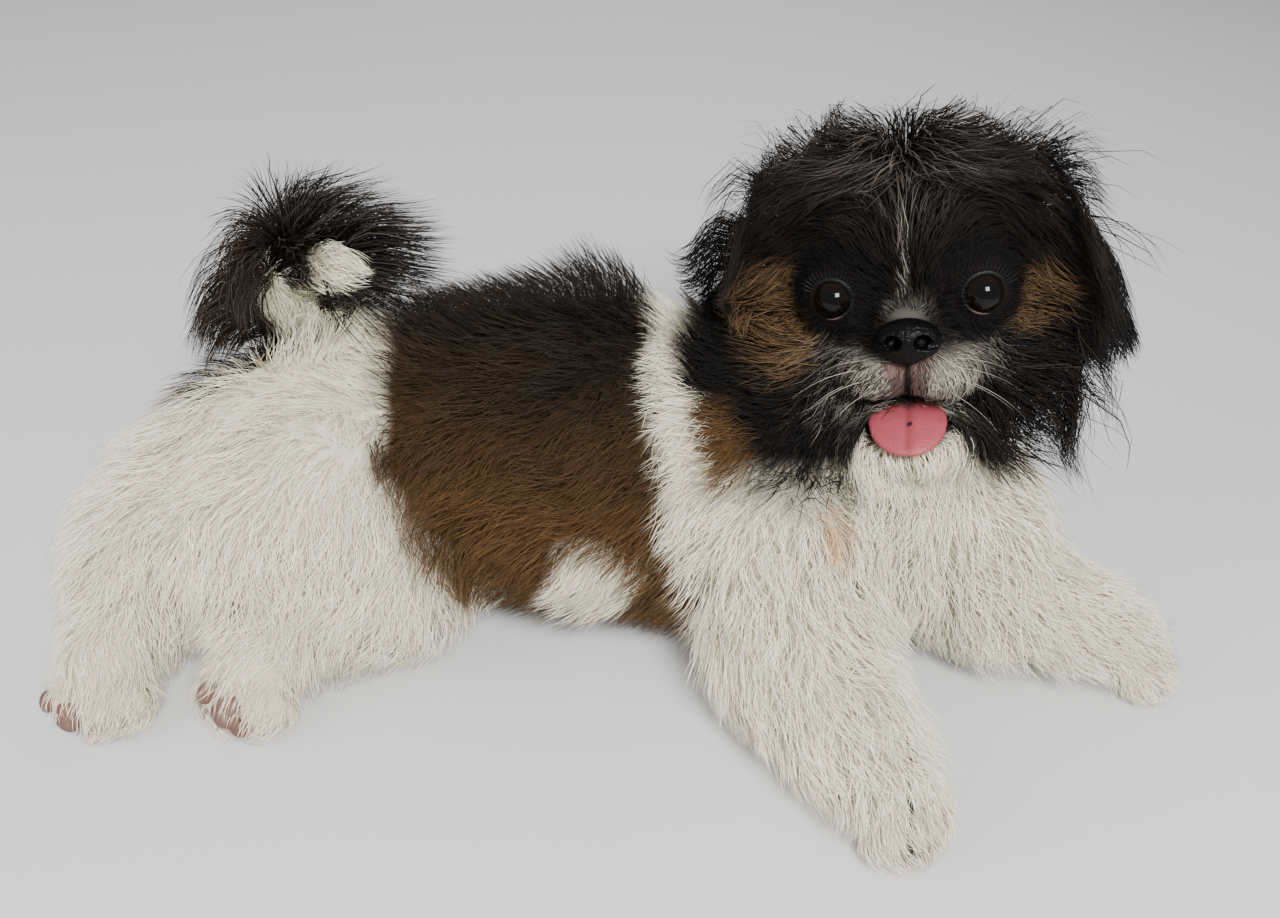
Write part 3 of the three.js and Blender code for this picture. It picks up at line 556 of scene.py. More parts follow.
# How the coat lies, and its sizes, part by part.
def lieOf(p, weights):
    n = len(p)
    ones = np.ones((n, 1))
    lie = np.zeros((n, 3))
    fromNose = unit(p - noseAt)
    q = headPlace(p)
    chestward = smooth(92, 145, p[:, 0])[:, None]
    for i, part in enumerate(partNames):
        w = weights[:, i:i + 1]
        if part == "torso":
            own = vec(-1, 0, -0.7) * (1 - chestward) + vec(0.15, -0.35, -1) * chestward
            beside = smooth(38, 20, np.linalg.norm(p - vec(-84, 8, 90), axis=1))[:, None]  # up to the tail
            own = (own + vec(0, -0.2, 0)) * (1 - beside) + vec(0, 0.1, 1) * beside
        elif part == "neck":
            own = vec(-0.6, 0, -1) * ones
        elif part in ("head", "muzzle"):
            # Round the face the hair falls to both sides of a parting and follows the head's outline.
            plane = unit(q[:, :2] * vec(1, 1.15) + vec(2, 0))
            falls = leftward * (np.tanh((q[:, :1] + 2) / 7) * np.maximum(plane[:, 1:], 0))
            falls = falls - crownward * (np.abs(plane[:, :1]) + 0.15)
            high = smooth(-4, 14, q[:, 1])
            rim = high * smooth(24, 42, np.hypot(q[:, 0], q[:, 1])) + (1 - high) * smooth(50, 62, np.abs(q[:, 0]))
            own = fromNose * (1 - rim[:, None]) + falls * rim[:, None]
            forelock = (smooth(30, 40, q[:, 1]) * smooth(27, 8, np.abs(q[:, 0] + 2)))[:, None]
            own = own * (1 - forelock) + forelock * (ahead + leftward * 0.6 * np.tanh((q[:, :1] + 2) / 12))
            own = own + vec(0, 0, -1) * (0.3 + 1.5 * smooth(5, -30, q[:, 2]))[:, None]
        elif part == "jaw":
            own = (-crownward + ahead * 0.1) * ones + fromNose * 0.3
        elif part.startswith("ear"):
            own = (-crownward + vec(0, 0, -0.4)) * ones
        elif part == "tail":
            own = vec(0, 0, 0.5) + vec(0.6, 0, -0.4) * smooth(101, 108, p[:, 2:])  # up, then along to its end
        elif part.startswith("foreleg"):
            side = part.split("_")[1]
            own = (unit(J[side + "Wrist"] - J[side + "Elbow"]) + vec(0, 0, -0.6)) * ones
        elif part.startswith("hind_leg"):
            side = part.split("_")[2]
            own = unit(J[side + "Hock"] - p) * 0.5 + vec(0, -0.4, -0.9)
        else:
            side = part.split("_")[-1]
            ends = ("Wrist", "Paw") if part.startswith("forepaw") else ("Hock", "Toes")
            own = (unit(J[side + ends[1]] - J[side + ends[0]]) + vec(0, 0, -0.25)) * ones
        lie += w * own
    return lie


# share of tufts per area, length, width, height of the tips over the skin, clumping, waviness
coatSizes = {
    "torso": (1.9, 18, 0.37, 12.5, 0.24, 0.8),
    "neck": (1.5, 28, 0.44, 14, 0.35, 1.2),
    "tail": (7.5, 65, 0.42, 30, 0.7, 2.4),
    "head": (3.0, 32, 0.42, 20, 0.26, 0.9),
    "muzzle": (4.2, 13, 0.25, 4.5, 0.4, 0.7),
    "jaw": (4.0, 17, 0.33, 7, 0.3, 0.9),
    "ear": (2.5, 30, 0.44, 13, 0.4, 1.2),
    "foreleg": (1.65, 20, 0.4, 12, 0.35, 1.4),
    "forepaw": (2.9, 10.5, 0.34, 5, 0.3, 0.5),
    "hind_leg": (1.55, 23, 0.4, 13.5, 0.38, 1.8),
    "hind_paw": (2.8, 11, 0.34, 5, 0.3, 0.5),
}
coat = {
    "tufts": 75000,
    "clumpSpacing": {"coat_tail": 14, "coat_face": 4, "coat_paws": 4, "coat_chest": 9},
    "usualSpacing": 6.5,
    "rootSunk": 1.0,
    "flatness": 0.3,  # thickness of a tuft against its width
    "waveLength": 18.0,
    "unevenness": 0.22,  # of the coat's height, in soft patches
    "hackles": (18, 24, 100),  # the middle of the raised hair over the shoulders
    "patch": 0.003,  # of each tuft on the baking map
}


def sizesOf(part):
    return next(sizes for name, sizes in coatSizes.items() if part.startswith(name))


def partWeights(p):
    distances = np.stack([inChunks(flesh[name], p) for name in partNames], 1)
    weights = np.exp(-(distances - distances.min(1, keepdims=True)) / 3.5)
    return weights / weights.sum(1, keepdims=True), distances.argmin(1)


# Pads on the soles, which both hind feet turn to the viewer: rough places, half widths and half heights.
padPlaces = {
    "right": [(-84, -92, 12, 5.0, 5.4), (-93, -87, 15, 3.4, 4.0), (-79, -94, 5.5, 3.6, 3.6)],
    "left": [(-130, -97, 9, 4.8, 5.0), (-139, -91, 8, 3.4, 3.8)],
}


def padsOf(side):
    pads = []
    for x, y, z, wide, high in padPlaces[side]:
        at = vec(x, y, z)[None]
        for _ in range(4):
            at = at - slopeOf(wholeFlesh, at) * wholeFlesh(at)[:, None]
        out = slopeOf(wholeFlesh, at)[0]
        across = unit(np.cross(up, out))
        pads.append((at[0] + out * 0.6, (wide, high, 2.5), np.array([across, np.cross(out, across), out])))
    return pads


padForms = padsOf("right") + padsOf("left")

# The skin.
skinBox = ((-150, -122, -2), (228, 88, 172))
skinCell = 1.7
skinVerts, skinQuads = surfaceNet(skinField, *skinBox, skinCell)
skin = newMesh("skin", skinVerts, skinQuads)
print("skin:", len(skinVerts), "points")


def unwrap(piece):
    bpy.ops.object.select_all(action="DESELECT")
    bpy.context.view_layer.objects.active = piece
    piece.select_set(True)
    piece.data.uv_layers.new(name="OFBake")
    bpy.ops.object.mode_set(mode="EDIT")
    bpy.ops.mesh.select_all(action="SELECT")
    bpy.ops.uv.smart_project(angle_limit=math.radians(66), island_margin=0.002)
    bpy.ops.object.mode_set(mode="OBJECT")
    uv = np.empty(len(piece.data.loops) * 2)
    piece.data.uv_layers["OFBake"].data.foreach_get("uv", uv)
    return uv.reshape(-1, len(skinQuads[0]), 2)


skinUv = unwrap(skin)
skinNormals = slopeOf(skinField, skinVerts)
skinWeights, skinPart = partWeights(skinVerts)
headIndex = [partNames.index(name) for name in headParts]


def headShare(weights):
    return weights[:, headIndex].sum(1)


skinHue = markings(skinVerts, headShare(skinWeights), np.full(len(skinVerts), 0.5)) * 0.6
fromMouth = mouth(skinVerts)
lipPlace = headPlace(skinVerts)
upperLip = bump(lipPlace[:, 0], 0, 7) * bump(lipPlace[:, 1], -25, 6) * smooth(38, 44, lipPlace[:, 2])
skinHue = mix(skinHue, tones["pink"], upperLip * 0.8)
# A dark line down the middle of the upper lip: the groove's own dark skin together with its painted shade, as the
# skin's net is too coarse to carve the groove.
grooved = bump(lipPlace[:, 0], 0, 1.2) * smooth(-13, -17, lipPlace[:, 1]) * smooth(38, 44, lipPlace[:, 2])
skinHue = mix(skinHue, tones["black"], np.clip(grooved * 1.3, 0, 1))
corners = bump(np.abs(lipPlace[:, 0]), 17, 5) * bump(lipPlace[:, 1], -41, 6)
skinHue = mix(skinHue, tones["black"], corners)
skinHue = mix(skinHue, vec(0.02, 0.011, 0.011), smooth(4.5, 2.0, fromMouth))
skinHue = mix(skinHue, vec(0.10, 0.022, 0.026), smooth(1.0, 0.2, fromMouth) * smooth(44, 36, lipPlace[:, 2]))
aroundEyes = np.min([np.linalg.norm(skinVerts - at, axis=1) for at in eyes.values()], axis=0)
skinHue = mix(skinHue, vec(0.006, 0.005, 0.0045), smooth(18, 14, aroundEyes))
paint(skin, skinHue)
finishPiece(skin, bareSkin, "bare_skin", *[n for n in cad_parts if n.split("_")[0] in (
    "head", "muzzle", "jaw", "ear", "neck", "torso", "tail", "foreleg", "forepaw", "hind")])
print("skin painted")

# The smooth field that the coat lies over, kept on a grid.
gridCell = 4.0
gridLow = vec(-185, -155, -14)
gridSize = np.array([112, 70, 60])
gridPoints = gridLow + np.stack(np.meshgrid(*[np.arange(n) for n in gridSize], indexing="ij"), -1) * gridCell
gridValue = inChunks(wholeFlesh, gridPoints.reshape(-1, 3)).reshape(gridSize)
gridAll = np.stack([gridValue, *np.gradient(gridValue, gridCell)], -1)


def overSkin(p):  # the height over the skin, and the way out from it
    g = np.clip((p - gridLow) / gridCell, 0, gridSize - 1.001)
    i = g.astype(int)
    t = (g - i)[:, :, None]
    found = 0
    for c in range(8):
        d = (c & 1, (c >> 1) & 1, (c >> 2) & 1)
        share = np.prod([t[:, a] if d[a] else 1 - t[:, a] for a in range(3)], axis=0)
        found = found + gridAll[i[:, 0] + d[0], i[:, 1] + d[1], i[:, 2] + d[2]] * share
    return found[:, 0], unit(found[:, 1:])


# Roots, drawn at random over the skin and denser where the coat is short.
def maskDistance(p):  # from the rims of the eyes and the nose, where the hair is shortest
    fromEyes = np.min([np.linalg.norm(p - at, axis=1) for at in eyes.values()], axis=0) - 7
    return np.minimum(fromEyes, np.linalg.norm(p - noseAt, axis=1) - 8)


def drawRoots(count):
    tris = np.concatenate([skinQuads[:, [0, 1, 2]], skinQuads[:, [0, 2, 3]]])
    triUv = np.concatenate([skinUv[:, [0, 1, 2]], skinUv[:, [0, 2, 3]]])
    corners = skinVerts[tris]
    area = np.linalg.norm(np.cross(corners[:, 1] - corners[:, 0], corners[:, 2] - corners[:, 0]), axis=1) / 2
    middle = corners.mean(1)
    weights, part = partWeights(middle)
    density = weights @ np.array([sizesOf(name)[0] for name in partNames])
    density *= 1 + 1.6 * smooth(26, 6, maskDistance(middle)) * headShare(weights)
    density *= 1 + 0.5 * smooth(14, 34, headPlace(middle)[:, 1]) * headShare(weights)
    density *= 1 + 1.5 * smooth(12, 3, mouth(middle)) * headShare(weights)
    density[mouth(middle) < 0.8] = 0
    density[np.min([np.linalg.norm(middle - at, axis=1) for at in eyes.values()], axis=0) < 7.3] = 0
    density[np.linalg.norm(middle - noseAt, axis=1) < 8] = 0
    q = headPlace(middle)
    density *= 1 - 0.75 * bump(q[:, 0], 0, 3) * smooth(-12, -16, q[:, 1]) * smooth(38, 44, q[:, 2])
    for at, radii, _ in padForms:
        density[np.linalg.norm(middle - at, axis=1) < max(radii) + 1.2] = 0
    outward = slopeOf(wholeFlesh, middle)
    density[(outward[:, 2] < -0.55) & (middle[:, 2] < 20)] *= 0.15
    reach = np.cumsum(area * density)
    chosen = np.searchsorted(reach, rng.random(count) * reach[-1])
    a, b = rng.random((2, count))
    over = a + b > 1
    a[over], b[over] = 1 - a[over], 1 - b[over]
    shares = np.stack([1 - a - b, a, b], 1)[:, :, None]
    return (skinVerts[tris[chosen]] * shares).sum(1), (triUv[chosen] * shares).sum(1)


roots, rootUv = drawRoots(coat["tufts"])
draw = rng.random(len(roots))
weights, part = partWeights(roots)
sizes = weights @ np.array([sizesOf(name) for name in partNames])
_, length, width, lift, clump, wave = sizes.T
share = headShare(weights)
q = headPlace(roots)
mask = smooth(3, 28, maskDistance(roots))
length = length * (1 - share) + share * (5.0 + (length - 5.0) * mask)
lift = lift * (1 - share) + share * (1.3 + (lift - 1.3) * mask)
width = width * (1 - share) + share * (0.26 + (width - 0.26) * mask)
beard = share * smooth(-12, -30, q[:, 1]) * smooth(16, 28, np.abs(q[:, 0]))
length = length + 9 * beard
lift = lift + 9 * share * smooth(20, 42, np.abs(q[:, 0])) * smooth(34, 8, q[:, 1]) * mask
isEar = np.isin(part, [partNames.index("ear_left"), partNames.index("ear_right")])
lift = np.where(isEar, np.where(q[:, 0] > 0, 8, 13 + 3 * smooth(-4, 8, q[:, 1])), lift)
length = np.where(isEar, length * smooth(-46, 0, q[:, 1] - 8 * (q[:, 0] > 0)), length)
lift = lift + 6 * share * smooth(-30, -42, q[:, 0]) * smooth(4, 14, q[:, 1])
moustache = share * smooth(7, 15, np.abs(q[:, 0])) * smooth(-12, -19, q[:, 1]) * smooth(38, 30, np.abs(q[:, 0]))
length = length + 8 * moustache
lift = lift + 1.5 * moustache
chest = smooth(96, 125, roots[:, 0]) * (1 - share) * smooth(18, 40, roots[:, 2])
besideHead = (1 - share) * smooth(100, 80, np.linalg.norm(roots - head["centre"], axis=1)) * (q[:, 1] > -50)
lift = lift * (1 - 0.6 * besideHead)
length = length * (1 - 0.3 * besideHead)
length = length + 12 * chest
wave = wave + 1.4 * chest
plush = (1 - share) * smooth(58, 80, roots[:, 2]) * smooth(-22, -42, roots[:, 0])  # short, even hair
length = length * (1 - 0.4 * plush)
lift = lift * (1 - 0.2 * plush)
wave = wave * (1 - 0.7 * plush)
clump = clump * (1 - 0.5 * plush)
hackles = np.exp(-(np.linalg.norm((roots - vec(*coat["hackles"])) * vec(0.7, 1, 1), axis=1) / 20) ** 2)
length = length + 5 * hackles
lift = lift + 9 * hackles
knot = share * bump(q[:, 0], 0, 20) * smooth(26, 36, q[:, 1]) * smooth(-8, 4, q[:, 2]) * (draw > 0.4)
lift = lift + share * smooth(28, 36, q[:, 1]) * (2 * bump(q[:, 0], -2, 14) - 3 * bump(q[:, 0], 22, 12))
lift = (lift + 2.5 * knot) * (1 + coat["unevenness"] * wobble(roots, 11, 2.0))
length *= 0.8 + 0.4 * rng.random(len(roots))
lift *= 0.6 + 0.5 * rng.random(len(roots)) - share * (0.16 - 0.24 * rng.random(len(roots)))
rising = 0.75 - 0.25 * share  # the head's hair rises early and then follows the outline
toCamera = unit(vec(35, -285, 285) - roots)
outward = slopeOf(wholeFlesh, roots)
tailRoots = part == partNames.index("tail")
seen = (outward * toCamera).sum(1) > 0.05
inStrip = seen & (tailStrip(roots) > 0.5)
whiteStrip = 1.0 * (tailRoots & inStrip)
plumeRoots = tailRoots & (whiteStrip == 0)
stripLength = 14 - 6 * smooth(-78, -69, roots[:, 0]) + 7 * rng.random(len(roots))
length = np.where(whiteStrip > 0, stripLength, length)
lift = np.where(whiteStrip > 0, 4 + 4 * rng.random(len(roots)), lift)
underBend = plumeRoots & seen & (outward[:, 2] < 0.15) & (outward[:, 0] > -0.3)
length = np.where(underBend, 11, length)
clump = np.where(whiteStrip > 0, 0.15, clump)
wave = np.where(whiteStrip > 0, 1.0, wave)
print("roots:", len(roots))


# The middle lines of the tufts, from the sunk root to the tip.
def growLines(which, bends):
    p = roots[which]
    n = len(p)
    own = weights[which]
    isPlume = plumeRoots[which]
    falls = knot[which][:, None]
    sideways = leftward * np.tanh((headPlace(p)[:, :1] + 2) / 9)
    tousle = (0.24 + 0.1 * (1 - share[which])) * rng.standard_normal(n)
    swirl = (0.42 * wobble(p, 22, 5.0) + 0.36 * wobble(p, 8, 1.0)) * (1 - 0.4 * share[which]) + tousle
    forwards = ahead * (0.2 + 0.9 * bump(headPlace(p)[:, :1], -2, 11))
    power = rising[which]
    step = (length[which] / bends)[:, None]
    height, out = overSkin(p)
    lines = [p - out * coat["rootSunk"]]
    spray = np.stack([wobble(p, 9, phase) for phase in (0.0, 7.0, 13.0)], 1)
    heading = unit(out * vec(1.3, 1, 0.75) + vec(0.15, 0, 0.45) + 0.4 * spray + 0.08 * rng.standard_normal((n, 3)))
    droop = 0.06 + 0.34 * smooth(-0.1, -0.8, out[:, :1])
    for k in range(1, bends + 1):
        t0, t1 = (k - 1) / bends, k / bends
        height, out = overSkin(p)
        lie = lieOf(p, own)
        lie = lie * (1 - falls) + falls * (sideways * 1.2 - crownward * (0.1 + 1.2 * t1) + forwards)
        lie = unit(lie - out * (lie * out).sum(1, keepdims=True))
        side = np.cross(out, lie)
        lie = lie * np.cos(swirl)[:, None] + side * np.sin(swirl)[:, None]
        rise = (lift[which] * (t1**power - t0**power))[:, None]
        rise = np.minimum(rise, step * 0.95)
        following = p + lie * np.sqrt(step**2 - rise**2) + out * rise
        target = lift[which] * t1**power
        height, out = overSkin(following)
        following = following + out * np.clip(target - height, -3, 6)[:, None]
        heading = unit(heading - vec(0, 0, 1) * droop)
        following = np.where(isPlume[:, None], p + heading * step, following)
        following[:, 2] = np.maximum(following[:, 2], 0.6 + 0.4 * rng.random(n))
        p = following
        lines.append(p)
    return np.stack(lines, 1)


# Tufts near one another draw together towards their tips, and wave together.
def drawTogether(which, lines, spacing):
    n, stations, _ = lines.shape
    leaders = np.arange(0, n, max(2, int(round(n * spacing**2 / max(1, clumpArea(which))))))
    tree = KDTree(len(leaders))
    for j, i in enumerate(leaders):
        tree.insert(lines[i, 0], j)
    tree.balance()
    nearest = np.array([tree.find(p)[1] for p in lines[:, 0]])
    t = np.linspace(0, 1, stations)[None, :, None]
    pull = clump[which][:, None, None] * smooth(0.05, 1.0, t)
    drawn = lines + (lines[leaders][nearest] - lines) * pull
    phase = (rng.random(len(leaders)) * 2 * math.pi)[nearest] + 0.5 * rng.standard_normal(n)
    waves = length[which] / coat["waveLength"] * (0.75 + 0.5 * rng.random(len(leaders)))[nearest]
    waves = np.minimum(waves, (stations - 1) / 4.2)  # no more than the bends can follow
    turn = 2 * math.pi * t[..., 0] * waves[:, None] + phase[:, None]
    run = unit(np.gradient(drawn, axis=1))
    height, out = overSkin(drawn.reshape(-1, 3))
    out = out.reshape(drawn.shape)
    side = unit(np.cross(run, out))
    size = (wave[which][:, None] * np.minimum(1, t[..., 0] * 1.6))[:, :, None]
    drawn = drawn + side * np.sin(turn)[:, :, None] * size + out * np.cos(turn)[:, :, None] * size * 0.5
    drawn += rng.standard_normal((n, 1, 3)) * 0.5 * t * np.minimum(1, length[which] / 20)[:, None, None]
    drawn[:, :, 2] = np.maximum(drawn[:, :, 2], 0.5)
    return drawn


def clumpArea(which):  # the rough area of skin that these roots cover
    cells = np.unique(np.floor(roots[which] / 4).astype(int), axis=0)
    return len(cells) * 16 * 0.7


def tuftMesh(name, which, bends):
    spacing = coat["clumpSpacing"].get(name, coat["usualSpacing"])
    lines = drawTogether(which, growLines(which, bends), spacing)
    n = len(lines)
    run = unit(np.gradient(lines, axis=1))
    height, out = overSkin(lines[:, 0])
    carried = np.cross(run[:, 0], out + 0.25 * rng.standard_normal((n, 3)))
    across = []
    for k in range(bends):  # one sideways direction is carried along, so that no tuft twists
        carried = unit(carried - run[:, k] * (carried * run[:, k]).sum(1, keepdims=True))
        across.append(carried)
    across = np.stack(across, 1)
    rise = np.cross(across, run[:, :bends])
    t = np.linspace(0, 1, bends + 1)[:bends]
    half = width[which][:, None] * (0.62 + 0.5 * t) * (1 - t**2.6) / 2 * (0.8 + 0.4 * rng.random((n, 1)))
    thick = half * coat["flatness"] * 2
    ring = lines[:, :bends]
    left = ring + across * half[..., None] - rise * (thick * 0.35)[..., None]
    top = ring + rise * (thick * 0.65)[..., None]
    right = ring - across * half[..., None] - rise * (thick * 0.35)[..., None]
    verts = np.stack([left, top, right], 2).reshape(n, bends * 3, 3)
    verts = np.concatenate([verts, lines[:, -1:]], 1)
    verts[:, :, 2] = np.maximum(verts[:, :, 2], 0.3)
    faces = [(0, 1, 2)]
    for i in range(bends):
        for c in range(3):
            u, v = i * 3 + c, i * 3 + (c + 1) % 3
            if i == bends - 1:
                faces.append((v, u, bends * 3))
            else:
                faces += [(v, u, u + 3), (v, u + 3, v + 3)]
    perTuft = bends * 3 + 1
    faces = (np.array(faces)[None] + (np.arange(n) * perTuft)[:, None, None]).reshape(-1, 3)
    piece = newMesh(name, verts.reshape(-1, 3), faces)
    hue = markings(lines[:, bends // 2 + 1], headShare(weights[which]), draw[which])
    plume = mix(tones["black"] * 1.3 * np.ones((n, 1)), tones["grey"] * 0.8, smooth(0.55, 0.9, draw[which]))
    plume = mix(plume, tones["darkBrown"], 0.7 * smooth(0, -0.6, overSkin(roots[which])[1][:, 0]))
    plume = mix(plume, tones["white"], whiteStrip[which])
    hue = mix(hue, plume, tailRoots[which] * 1.0)
    pale = smooth(0.08, 0.5, hue[:, :1])  # pale hair varies less from tuft to tuft and gets less painted shade at its roots
    hue = hue * (1 + (0.26 - 0.17 * pale) * (2 * rng.random((n, 1)) - 1)) * (1 + 0.03 * rng.standard_normal((n, 3)))
    along = np.concatenate([np.repeat(t, 3), [1.0]])[None, :, None]
    # Each tuft darkens from its tip towards its root: painted shade deep in the coat. The slight lift at the tips is
    # the hair's own bleached colour.
    paintedRootShade = (0.6 + 0.26 * pale)[:, None]
    hue = np.clip(hue[:, None] * (paintedRootShade + (1.08 - paintedRootShade) * along) + 0.006 * along**2, 0, 0.93)
    paint(piece, hue.reshape(-1, 3))
    patch = np.stack([np.append(np.tile([0, 0.5, 1], bends), 0.5), along[0, :, 0]], 1) * coat["patch"]
    uv = (rootUv[which][:, None] + patch[None]).reshape(-1, 2)
    layer = piece.data.uv_layers.new(name="OFBake")
    layer.data.foreach_set("uv", uv[faces.ravel()].ravel())
    return finishPiece(piece, hair, slotOf[name])


# The coat is made region by region.
isHead = share > 0.5
nearMask = isHead & (maskDistance(roots) < 15)
onTop = isHead & ~nearMask & (q[:, 1] > 8)
partIs = {name: np.isin(part, [i for i, n in enumerate(partNames) if n.startswith(name)]) for name in coatSizes}
isPaw = partIs["forepaw"] | partIs["hind_paw"]
free = ~isHead
isTrunk = partIs["torso"] | partIs["neck"]
regions = {  # which roots, bends in each tuft, material slot
    "coat_face": (nearMask, 3, "dark_coat"),
    "coat_crown_right": (onTop & (q[:, 0] < 0), 4, "dark_coat"),
    "coat_crown_left": (onTop & (q[:, 0] >= 0), 4, "dark_coat"),
    "coat_cheek_right": (isHead & ~nearMask & ~onTop & (q[:, 0] < 0), 4, "dark_coat"),
    "coat_cheek_left": (isHead & ~nearMask & ~onTop & (q[:, 0] >= 0), 4, "dark_coat"),
    "coat_paws": (free & isPaw, 3, "white_coat"),
    "coat_tail": (free & partIs["tail"], 5, "dark_coat"),
    "coat_foreleg_right": (free & partIs["foreleg"] & (roots[:, 1] < -42), 4, "white_coat"),
    "coat_foreleg_left": (free & partIs["foreleg"] & (roots[:, 1] >= -42), 4, "white_coat"),
    "coat_hind_leg_right": (free & partIs["hind_leg"] & (roots[:, 0] > -98), 4, "white_coat"),
    "coat_hind_leg_left": (free & partIs["hind_leg"] & (roots[:, 0] <= -98), 4, "white_coat"),
    "coat_rump": (free & isTrunk & (roots[:, 0] < -20), 3, "white_coat"),
    "coat_flanks": (free & isTrunk & (roots[:, 0] >= -20) & (roots[:, 0] < 52), 3, "brown_coat"),
    "coat_chest": (free & isTrunk & (roots[:, 0] >= 52), 4, "white_coat"),
}
slotOf = {name: slot for name, (_, _, slot) in regions.items()}
triangles = 0
for name, (chosen, bends, _) in regions.items():
    piece = tuftMesh(name, np.flatnonzero(chosen), bends)
    triangles += len(piece.data.polygons)
    print(name, len(piece.data.polygons), "triangles")
print("coat:", triangles, "triangles")


# Eyes, with a bulging cornea, set into rounded lids.
eye = {"corneaRise": 0.5, "pupil": 0.42, "iris": 0.95, "outward": 14, "halfWidth": 6.35, "halfHeight": 5.95}


def facingOf(side):
    return turned(ahead, crownward, eye["outward"] if side == "left" else -eye["outward"])


def ringsMesh(name, rings, closedEnds=True):  # joins rings of points, the first and last drawn to a point
    count, around = rings.shape[0], rings.shape[1]
    verts = rings.reshape(-1, 3)
    i = np.arange(count - 1)[:, None] * around
    j = np.arange(around)[None]
    quads = np.stack([i + j, i + (j + 1) % around, i + around + (j + 1) % around, i + around + j], -1)
    return newMesh(name, verts, quads.reshape(-1, 4))


def closeEnds(piece):
    mesh = piece.data
    bpy.context.view_layer.objects.active = piece
    bm = bmesh.new()
    bm.from_mesh(mesh)
    bmesh.ops.remove_doubles(bm, verts=bm.verts, dist=1e-6)
    holes = [e for e in bm.edges if e.is_boundary]
    if holes:
        bmesh.ops.holes_fill(bm, edges=holes)
    bmesh.ops.recalc_face_normals(bm, faces=bm.faces)
    bm.to_mesh(mesh)
    bm.free()
    return piece


for side in ("left", "right"):
    facing = facingOf(side)
    across = unit(np.cross(crownward, facing))
    upward = np.cross(facing, across)
    theta = np.linspace(0.004, math.pi - 0.004, 56)[:, None]
    phi = np.linspace(0, 2 * math.pi, 64, endpoint=False)[None]
    radius = head["eyeRadius"] + eye["corneaRise"] * np.exp(-((theta / 0.8) ** 2)) - 0.1
    local = np.stack([np.sin(theta) * np.cos(phi), np.sin(theta) * np.sin(phi), np.cos(theta) + 0 * phi], -1)
    rings = eyes[side] + (local * radius[..., None]) @ np.array([across, upward, facing])
    piece = closeEnds(ringsMesh("eyeball_" + side, rings))
    co = np.array([v.co for v in piece.data.vertices]) * 1000 - eyes[side]
    away = np.arccos(np.clip(unit(co) @ facing, -1, 1))
    iris = smooth(eye["pupil"], eye["pupil"] + 0.1, away)
    hue = mix(np.full((len(co), 3), 0.002), vec(0.004, 0.0022, 0.0015), iris)
    hue = mix(hue, vec(0.003, 0.002, 0.002), smooth(0.78, eye["iris"], away))
    paint(piece, hue)
    finishPiece(piece, eyeGlass, "eye", "eye_" + side)
    # The lids: a soft rim, thicker above.
    a = np.linspace(0, 2 * math.pi, 56, endpoint=False)
    upper = np.clip(np.sin(a), 0, 1)
    forward = 2.9 + 0.35 * upper - 0.5 * np.cos(a) ** 2
    centreLine = np.stack([eye["halfWidth"] * np.cos(a), eye["halfHeight"] * np.sin(a), forward], 1)
    thickness = 0.62 + 0.3 * upper
    outwards = unit(centreLine * vec(1, 1, 0.35))
    b = np.linspace(0, 2 * math.pi, 10, endpoint=False)
    loop = (
        centreLine[:, None]
        + outwards[:, None] * np.cos(b)[None, :, None] * thickness[:, None, None]
        + vec(0, 0, 1) * np.sin(b)[None, :, None] * thickness[:, None, None]
    )
    loop = np.concatenate([loop, loop[:1]])
    rim = closeEnds(ringsMesh("eyelid_" + side, eyes[side] + loop @ np.array([across, upward, facing])))
    co = (np.array([v.co for v in rim.data.vertices]) * 1000 - eyes[side]) @ np.array([across, upward, facing]).T
    # The lower inner edge of the lid is painted paler: the lid's own pink together with a painted reflection on its
    # wet edge.
    rimPinkAndSheen = smooth(-3.5, -5.5, co[:, 1]) * smooth(6.4, 5.9, np.hypot(co[:, 0], co[:, 1]))
    paint(rim, mix(np.full((len(co), 3), 0.006), vec(0.10, 0.065, 0.055), rimPinkAndSheen))
    finishPiece(rim, lipSkin, "bare_skin")
print("eyes made")


# Nose leather with its nostrils and the groove below them.
nose = {"halfWidth": 8.9, "cell": 0.5, "nostril": (2.7, 2.3, 4.2), "groove": 0.5}
noseForms = [
    ellipsoid(noseAt, (nose["halfWidth"], 5.6, 6.5)),
    ellipsoid(inHead(0, -14, 49.5), (5, 4.4, 5)),
    ellipsoid(inHead(5.6, -11.5, 50.5), (3.6, 4.0, 4.6)),
    ellipsoid(inHead(-5.6, -11.5, 50.5), (3.6, 4.0, 4.6)),
]
noseHoles = [roundCone(inHead(0, -11, 57.6), nose["groove"], inHead(0, -20, 54.5), nose["groove"])]
for s in (1, -1):
    noseHoles.append(ellipsoid(inHead(s * 4.3, -10.8, 56.2), nose["nostril"]))
    noseHoles.append(roundCone(inHead(s * 5.4, -12.2, 55.6), 1.5, inHead(s * 9.8, -11.6, 52.6), 0.8))
noseField = carve(blend(2.5, *noseForms), *noseHoles)
verts, quads = surfaceNet(noseField, noseAt - 12, noseAt + 12, nose["cell"])
piece = newMesh("nose_leather", verts, quads)
# The leather is painted darker inside the nostrils: painted shade in the holes.
sunk = np.min([hole(verts) for hole in noseHoles[1:]], axis=0)
leather = np.full((len(verts), 3), 0.002) * vec(1, 0.95, 0.95)
paint(piece, mix(leather, vec(0.0015, 0.001, 0.001), smooth(0.6, -0.2, sunk)))
finishPiece(piece, noseLeather, "nose_leather", "nose")

# Tongue, hollowed along its middle.
tongue = {"radii": (11.8, 2.6, 14.5), "tilt": 32, "groove": 0.7, "cell": 0.8}
tongueAxes = np.array([leftward, turned(crownward, leftward, tongue["tilt"]), turned(ahead, leftward, tongue["tilt"])])
tongueAt = inHead(0, -38.2, 39)
slab = ellipsoid(tongueAt, tongue["radii"], tongueAxes)


